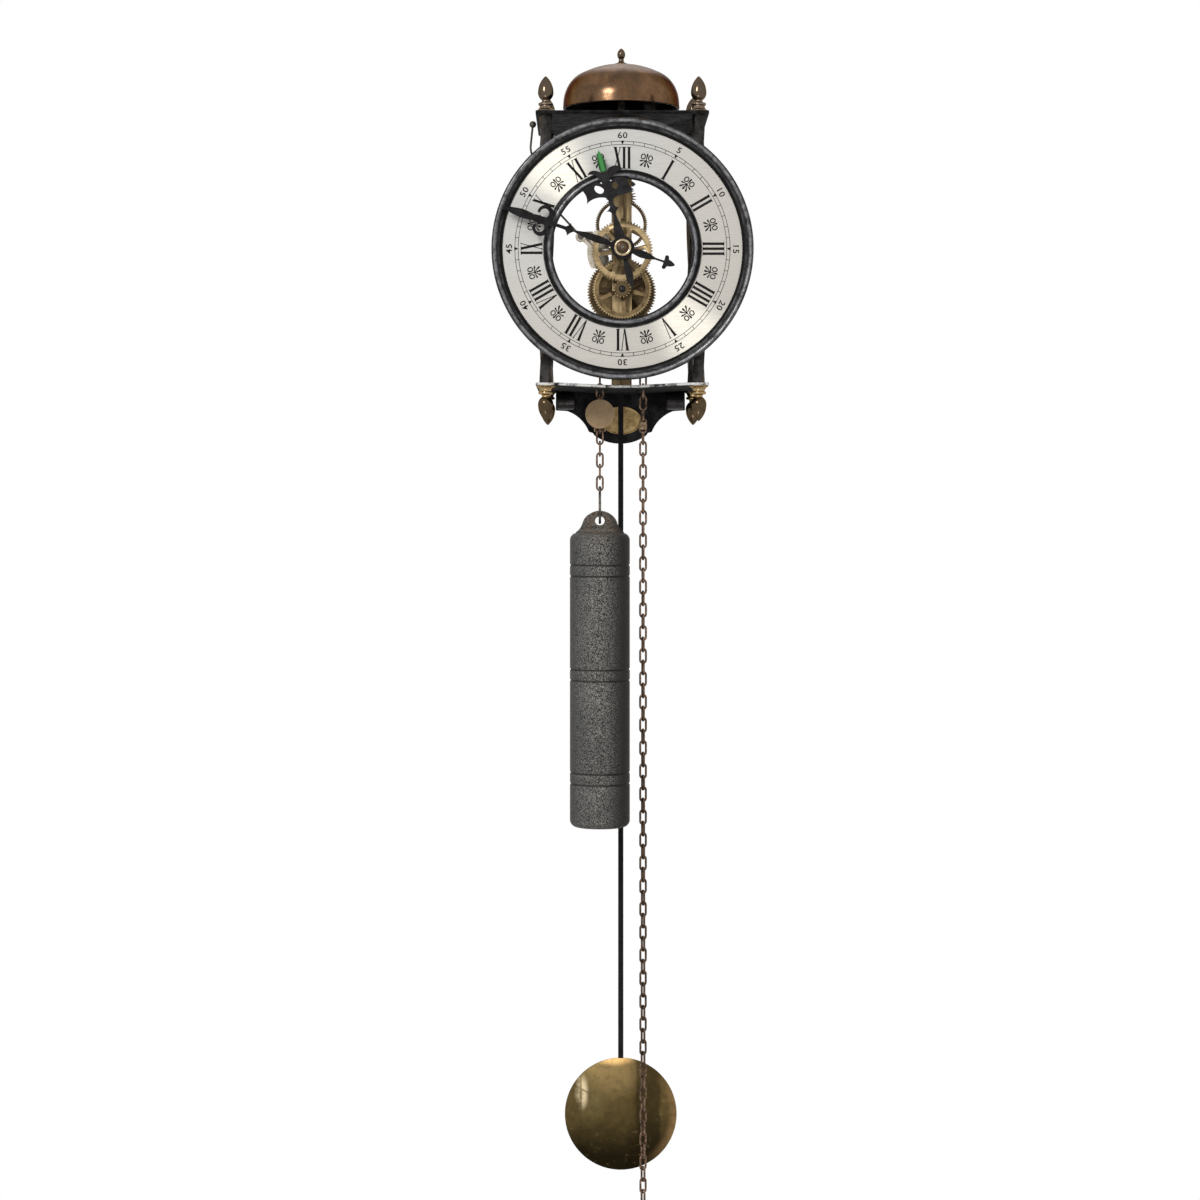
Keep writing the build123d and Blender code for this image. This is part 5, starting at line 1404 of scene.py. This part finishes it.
def link_mesh(name, wire, width, inside):
    """Wire link standing up, seen face on, with its middle at the origin."""
    bend = (width - wire) / 2
    straight = (inside + wire) / 2 - bend
    centre_line = [(bend * cos(pi * n / 8), straight + bend * sin(pi * n / 8)) for n in range(9)]
    centre_line += [(-x, -y) for x, y in centre_line]
    shape = bmesh.new()
    rings = []
    for number, (x, y) in enumerate(centre_line):
        before, after = centre_line[number - 1], centre_line[(number + 1) % len(centre_line)]
        way = Vector((after[0] - before[0], after[1] - before[1])).normalized()
        out = (way.y, -way.x)
        ring = []
        for turn_number in range(wire_sides):
            angle = 2 * pi * (turn_number + 0.5) / wire_sides
            reach = wire / 2 * cos(angle)
            ring.append(shape.verts.new(((x + out[0] * reach) * mm, wire / 2 * sin(angle) * mm,
                                         (y + out[1] * reach) * mm)))
        rings.append(ring)
    bridge(shape, rings, closed=True)
    return mesh_of(name, shape)


link = link_mesh("link", link_wire, link_width, link_inside)
link_object = linked("link", link)
print("one link:", len(link.polygons), "faces")

# %% [markdown]
# Two strands hang from the sprocket, one to the weight and one free. Each link is turned a quarter
# from the last. Geometry Nodes hang copies of the one link in a row, and the free strand also
# turns slowly on its way down, as a chain with nothing on its end does.

# %% Hanging strands
wrap_links, weight_links, free_links = 12, 17, 82
joining_number = 11
wrap_r = (link_inside - 0.5) / (2 * sin(pi / wrap_links))
twist_each, twist_most = 0.4, 28.0


def hang_strand(name, node, side, count, first_quarter, twist=0.0, skip=-1):
    """Row of links that hangs from the sprocket's side and twists a little on its way down."""
    strand = Recipe(name)
    pitch = strand.ask("Pitch", "Float", link_pitch * mm)
    number = strand.ask("Links", "Int", count)
    gap = strand.ask("Left out", "Int", skip)
    turn_each = strand.ask("Twist", "Float", radians(twist_each))
    turn_most = strand.ask("Most twist", "Float", radians(twist))
    step = strand.add("ShaderNodeCombineXYZ", Z=strand.maths("MULTIPLY", pitch, -1.0))
    row = strand.add("GeometryNodeMeshLine", {"mode": "OFFSET"}, Count=number, Offset=step,
                     Start_Location=place(side, chain_depth, -great_drop - link_pitch / 2))
    index = strand.add("GeometryNodeInputIndex")
    wanted = strand.add("FunctionNodeCompare", {"data_type": "INT", "operation": "NOT_EQUAL"},
                        A=index, B=gap)
    odd = strand.maths("MODULO", strand.maths("ADD", index, first_quarter), 2.0)
    quarter = strand.maths("MULTIPLY", odd, pi / 2)
    slow_turn = strand.maths("MINIMUM", strand.maths("MULTIPLY", index, turn_each), turn_most)
    rotation = strand.add("ShaderNodeCombineXYZ", Z=strand.maths("ADD", quarter, slow_turn))
    shape = strand.add("GeometryNodeObjectInfo", {"transform_space": "ORIGINAL"}, output=-1,
                       Object=link_object)
    copies = strand.add("GeometryNodeInstanceOnPoints", Points=row, Selection=wanted,
                        Instance=shape, Rotation=rotation)
    mesh = strand.bake(name, copies, finishes["chain_brass"], Links=count)
    return show(make_object(name, mesh, smooth=60), node)


weight_strand = hang_strand("links_over_weight", "chain_weight_side", -wrap_r, weight_links, 0.0)
free_strand = hang_strand("links_free_side", "chain_free_side", wrap_r, free_links, 1.0, twist_most,
                          joining_number)
print("strand faces:", len(weight_strand.data.polygons), len(free_strand.data.polygons))

# %% [markdown]
# Six links lie round the top of the sprocket, each a straight chord of its circle. They are few
# and each has its own tilt, so they are placed one by one with a matrix.

# %% Links on the sprocket
wrap_shape = bmesh.new()
apothem = wrap_r * cos(pi / wrap_links)
for number in range(wrap_links // 2):
    angle = radians(180 / wrap_links + 360 / wrap_links * number)
    quarter = Matrix.Rotation(0 if number % 2 == 0 else pi / 2, 4, "Z")
    spot = place(apothem * cos(angle), chain_depth, -great_drop + apothem * sin(angle))
    one = link.copy()
    one.transform(Matrix.Translation(spot) @ Matrix.Rotation(-angle, 4, "Y") @ quarter)
    wrap_shape.from_mesh(one)
    bpy.data.meshes.remove(one)
wrap_mesh = mesh_of("links_on_sprocket", wrap_shape, outwards=False)
show(make_object("links_on_sprocket", wrap_mesh, smooth=60), "chain_on_sprocket")
print("links on the sprocket:", wrap_links // 2)

# %% [markdown]
# One link of the free strand was opened and closed again when the chain was made up, and a brass
# sleeve hides the joint. It takes the place of the link that the strand left out.

# %% Joining link
joining_height = -great_drop - link_pitch * (joining_number + 0.5)
joining = link.copy()
joining.name = "joining_link_ring"
joining.transform(Matrix.Translation(place(wrap_r, chain_depth, joining_height)))
show(make_object("joining_link_ring", joining, smooth=60), "joining_link", finishes["chain_brass"])
sleeve = [(0, -2.35), (1.9, -2.35), (2.1, -2.1), (2.1, 2.1), (1.9, 2.35), (0, 2.35)]
sleeve_piece = lathe("joining_sleeve", sleeve, "up", [(wrap_r, chain_depth, joining_height)],
                     segments=28)
join_on(sleeve_piece, "joining_link", finishes["sleeve_brass"])
bpy.data.objects.remove(link_object)
print("joining link at", round(joining_height, 1))

# %% [markdown]
# A plain wire ring ends the free strand. It is a torus, built like a link: circles of points set
# round a larger circle, then joined.

# %% End ring of the chain
ring_low, ring_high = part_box("chain_end_ring")
ring_middle = (Vector(ring_low) + Vector(ring_high)) / 2
ring_shape = bmesh.new()
ring_r, ring_wire = 5.5 * mm, 0.8 * mm
circles = []
for number in range(48):
    angle = 2 * pi * number / 48
    spots = []
    for step in range(12):
        around = 2 * pi * step / 12
        reach = ring_r + ring_wire * cos(around)
        spots.append(Vector((ring_wire * sin(around), reach * cos(angle), reach * sin(angle))))
    circles.append([ring_shape.verts.new(ring_middle + spot) for spot in spots])
bridge(ring_shape, circles, closed=True)
show(make_object("end_ring", mesh_of("end_ring", ring_shape)), "chain_end_ring")
print("end ring at", [round(value, 4) for value in ring_middle])

# %% [markdown]
# The bob is a spun brass lens: two shallow domes meet at a thin edge. Each dome is part of a large
# ball, whose radius follows from the bob's width and thickness, so the points of its outline are
# worked out and not typed.

# %% Bob turned
bob_r, bob_half, bob_edge = 33.7, 6.5, 0.8
ball_r = (bob_r ** 2 + (bob_half - bob_edge) ** 2) / (2 * (bob_half - bob_edge))
front_dome = [(bob_r * step / 24, ball_r - bob_half - sqrt(ball_r ** 2 - (bob_r * step / 24) ** 2))
              for step in range(24)]
edge_round = [(bob_r - 0.05, -bob_edge), (bob_r, -bob_edge + 0.15), (bob_r, bob_edge - 0.15),
              (bob_r - 0.05, bob_edge)]
back_dome = [(radius, -depth) for radius, depth in reversed(front_dome)]
full_lens = lathe("full_lens", front_dome + edge_round + back_dome, "deep",
                  [(0, bob_depth, bob_height)], segments=160)
print("each dome is part of a ball of", round(ball_r, 1), "mm")

# %% [markdown]
# A window in the bob's back holds the nut that sets the rate. The lathe can't make a square hole,
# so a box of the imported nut's size, and a little more, is cut out of the turned lens with a
# Boolean modifier.

# %% Bob with its window
nut_low, nut_high = (Vector(corner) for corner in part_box("rating_nut"))
window_low = nut_low - Vector((0.3, 0.3, 0.6)) * mm
window_high = nut_high + Vector((0.3, 9.0, 0.06)) * mm
cutter_shape = bmesh.new()
bmesh.ops.create_cube(cutter_shape, size=1.0)
for vert in cutter_shape.verts:
    vert.co = Vector(window_high[axis] if vert.co[axis] > 0 else window_low[axis]
                     for axis in range(3))
cutter = linked("window_box", mesh_of("window_box", cutter_shape, outwards=False))
cut = full_lens.modifiers.new("window", "BOOLEAN")
cut.operation = "DIFFERENCE"
cut.object = cutter
lens_mesh = applied_mesh(full_lens)
bpy.data.objects.remove(full_lens)
bpy.data.objects.remove(cutter)
bob_piece = show(make_object("bob_lens", lens_mesh), "bob")
print("bob:", len(bob_piece.data.polygons), "faces")

# %% [markdown]
# The rating nut is a small turned disc with bevelled rims, on a hole a little wider than the rod's
# thread. Turning it raises or lowers the bob on a real clock, which sets the rate.

# %% Rating nut
nut_thick, nut_bevel, nut_hole_r = 3.0, 0.3, 0.97
nut_r = (nut_high.x - nut_low.x) / 2 / mm
nut_top = (nut_high.z - dial_height) / mm
nut_profile = [(nut_hole_r, nut_top), (nut_r - nut_bevel, nut_top), (nut_r, nut_top - nut_bevel),
               (nut_r, nut_top - nut_thick + nut_bevel), (nut_r - nut_bevel, nut_top - nut_thick),
               (nut_hole_r, nut_top - nut_thick)]
show(lathe("rating_nut_turned", nut_profile, "up", [(0, bob_depth, 0)], segments=48, closed=True),
     "rating_nut")
print("nut:", round(2 * nut_r, 1), "mm across")

# %% [markdown]
# A pale floor lies far below the clock, where it shows only in the other views. A large plane
# would cut across them, so it is a round one, just wider than the clock.

# %% Floor
floor_drop, floor_r = 0.9, 0.75
floor_shape = bmesh.new()
bmesh.ops.create_circle(floor_shape, cap_ends=True, radius=floor_r, segments=96)
floor = linked("floor", mesh_of("floor", floor_shape, outwards=False))
floor.location = (0, 0, -floor_drop)
floor_paint = Paint("floor_white")
floor.data.materials.append(floor_paint.finish((0.9, 0.9, 0.9), 0.0, 0.8))
print("floor", round(floor_drop, 2), "m below the origin")

# %% [markdown]
# The clock hangs before a plain white ground. More light would whiten the ground, but it would
# bleach the clock as well. Instead the world is white only to the camera and in reflections, so
# polished metal shows that ground, and a softer grey from the same world lights the object.

# %% World
world_light = 0.34
world = bpy.data.worlds.new("studio")
bpy.context.scene.world = world
world.use_nodes = True
tree = world.node_tree
ground = tree.nodes["Background"]
ray = tree.nodes.new("ShaderNodeLightPath")
seen = ray.outputs["Is Camera Ray"]
for kind in ("Is Glossy Ray", "Is Transmission Ray"):
    either = tree.nodes.new("ShaderNodeMath")
    either.operation = "MAXIMUM"
    tree.links.new(seen, either.inputs[0])
    tree.links.new(ray.outputs[kind], either.inputs[1])
    seen = either.outputs[0]
strength = tree.nodes.new("ShaderNodeMapRange")
tree.links.new(seen, strength.inputs["Value"])
strength.inputs["To Min"].default_value = world_light
strength.inputs["To Max"].default_value = 1.0
tree.links.new(strength.outputs["Result"], ground.inputs["Strength"])
ground.inputs["Color"].default_value = (1, 1, 1, 1)
bpy.context.scene.view_settings.view_transform = "Standard"
print("world light:", world_light)

# %% [markdown]
# Five soft square lights shape the clock. The key comes from the upper left. The window, lower and
# smaller, is there to be mirrored: it makes the bright square on the bell. The fill opens up the
# right side, the top light draws the plates' upper edges, and the low one keeps the undersides
# from going black. The key and the fill are hidden from reflections, or the bell would show them
# too.

# %% Lights


def softbox(name, spot, target, size, power, mirrored=True):
    """Square soft light that looks at a target; only a mirrored one shows in polished metal."""
    data = bpy.data.lights.new(name, "AREA")
    data.size = size
    data.energy = power
    light = linked(name, data)
    light.location = spot
    light.rotation_euler = (Vector(target) - Vector(spot)).to_track_quat("-Z", "Y").to_euler()
    light.visible_glossy = mirrored


softbox("key", (-0.72, -1.55, 1.2), (0, 0, -0.1), size=0.6, power=19, mirrored=False)
softbox("window", (-0.75, -1.5, 0.66), (0, 0, 0), size=0.46, power=15)
softbox("fill", (1.4, -1.5, 0.0), (0, 0, -0.2), size=1.0, power=9, mirrored=False)
softbox("top", (0.1, 0.9, 1.2), (0, 0, -0.1), size=0.8, power=8)
softbox("low", (-0.2, -1.6, -1.6), (0, 0, -0.3), size=0.6, power=5)
print("lights set")
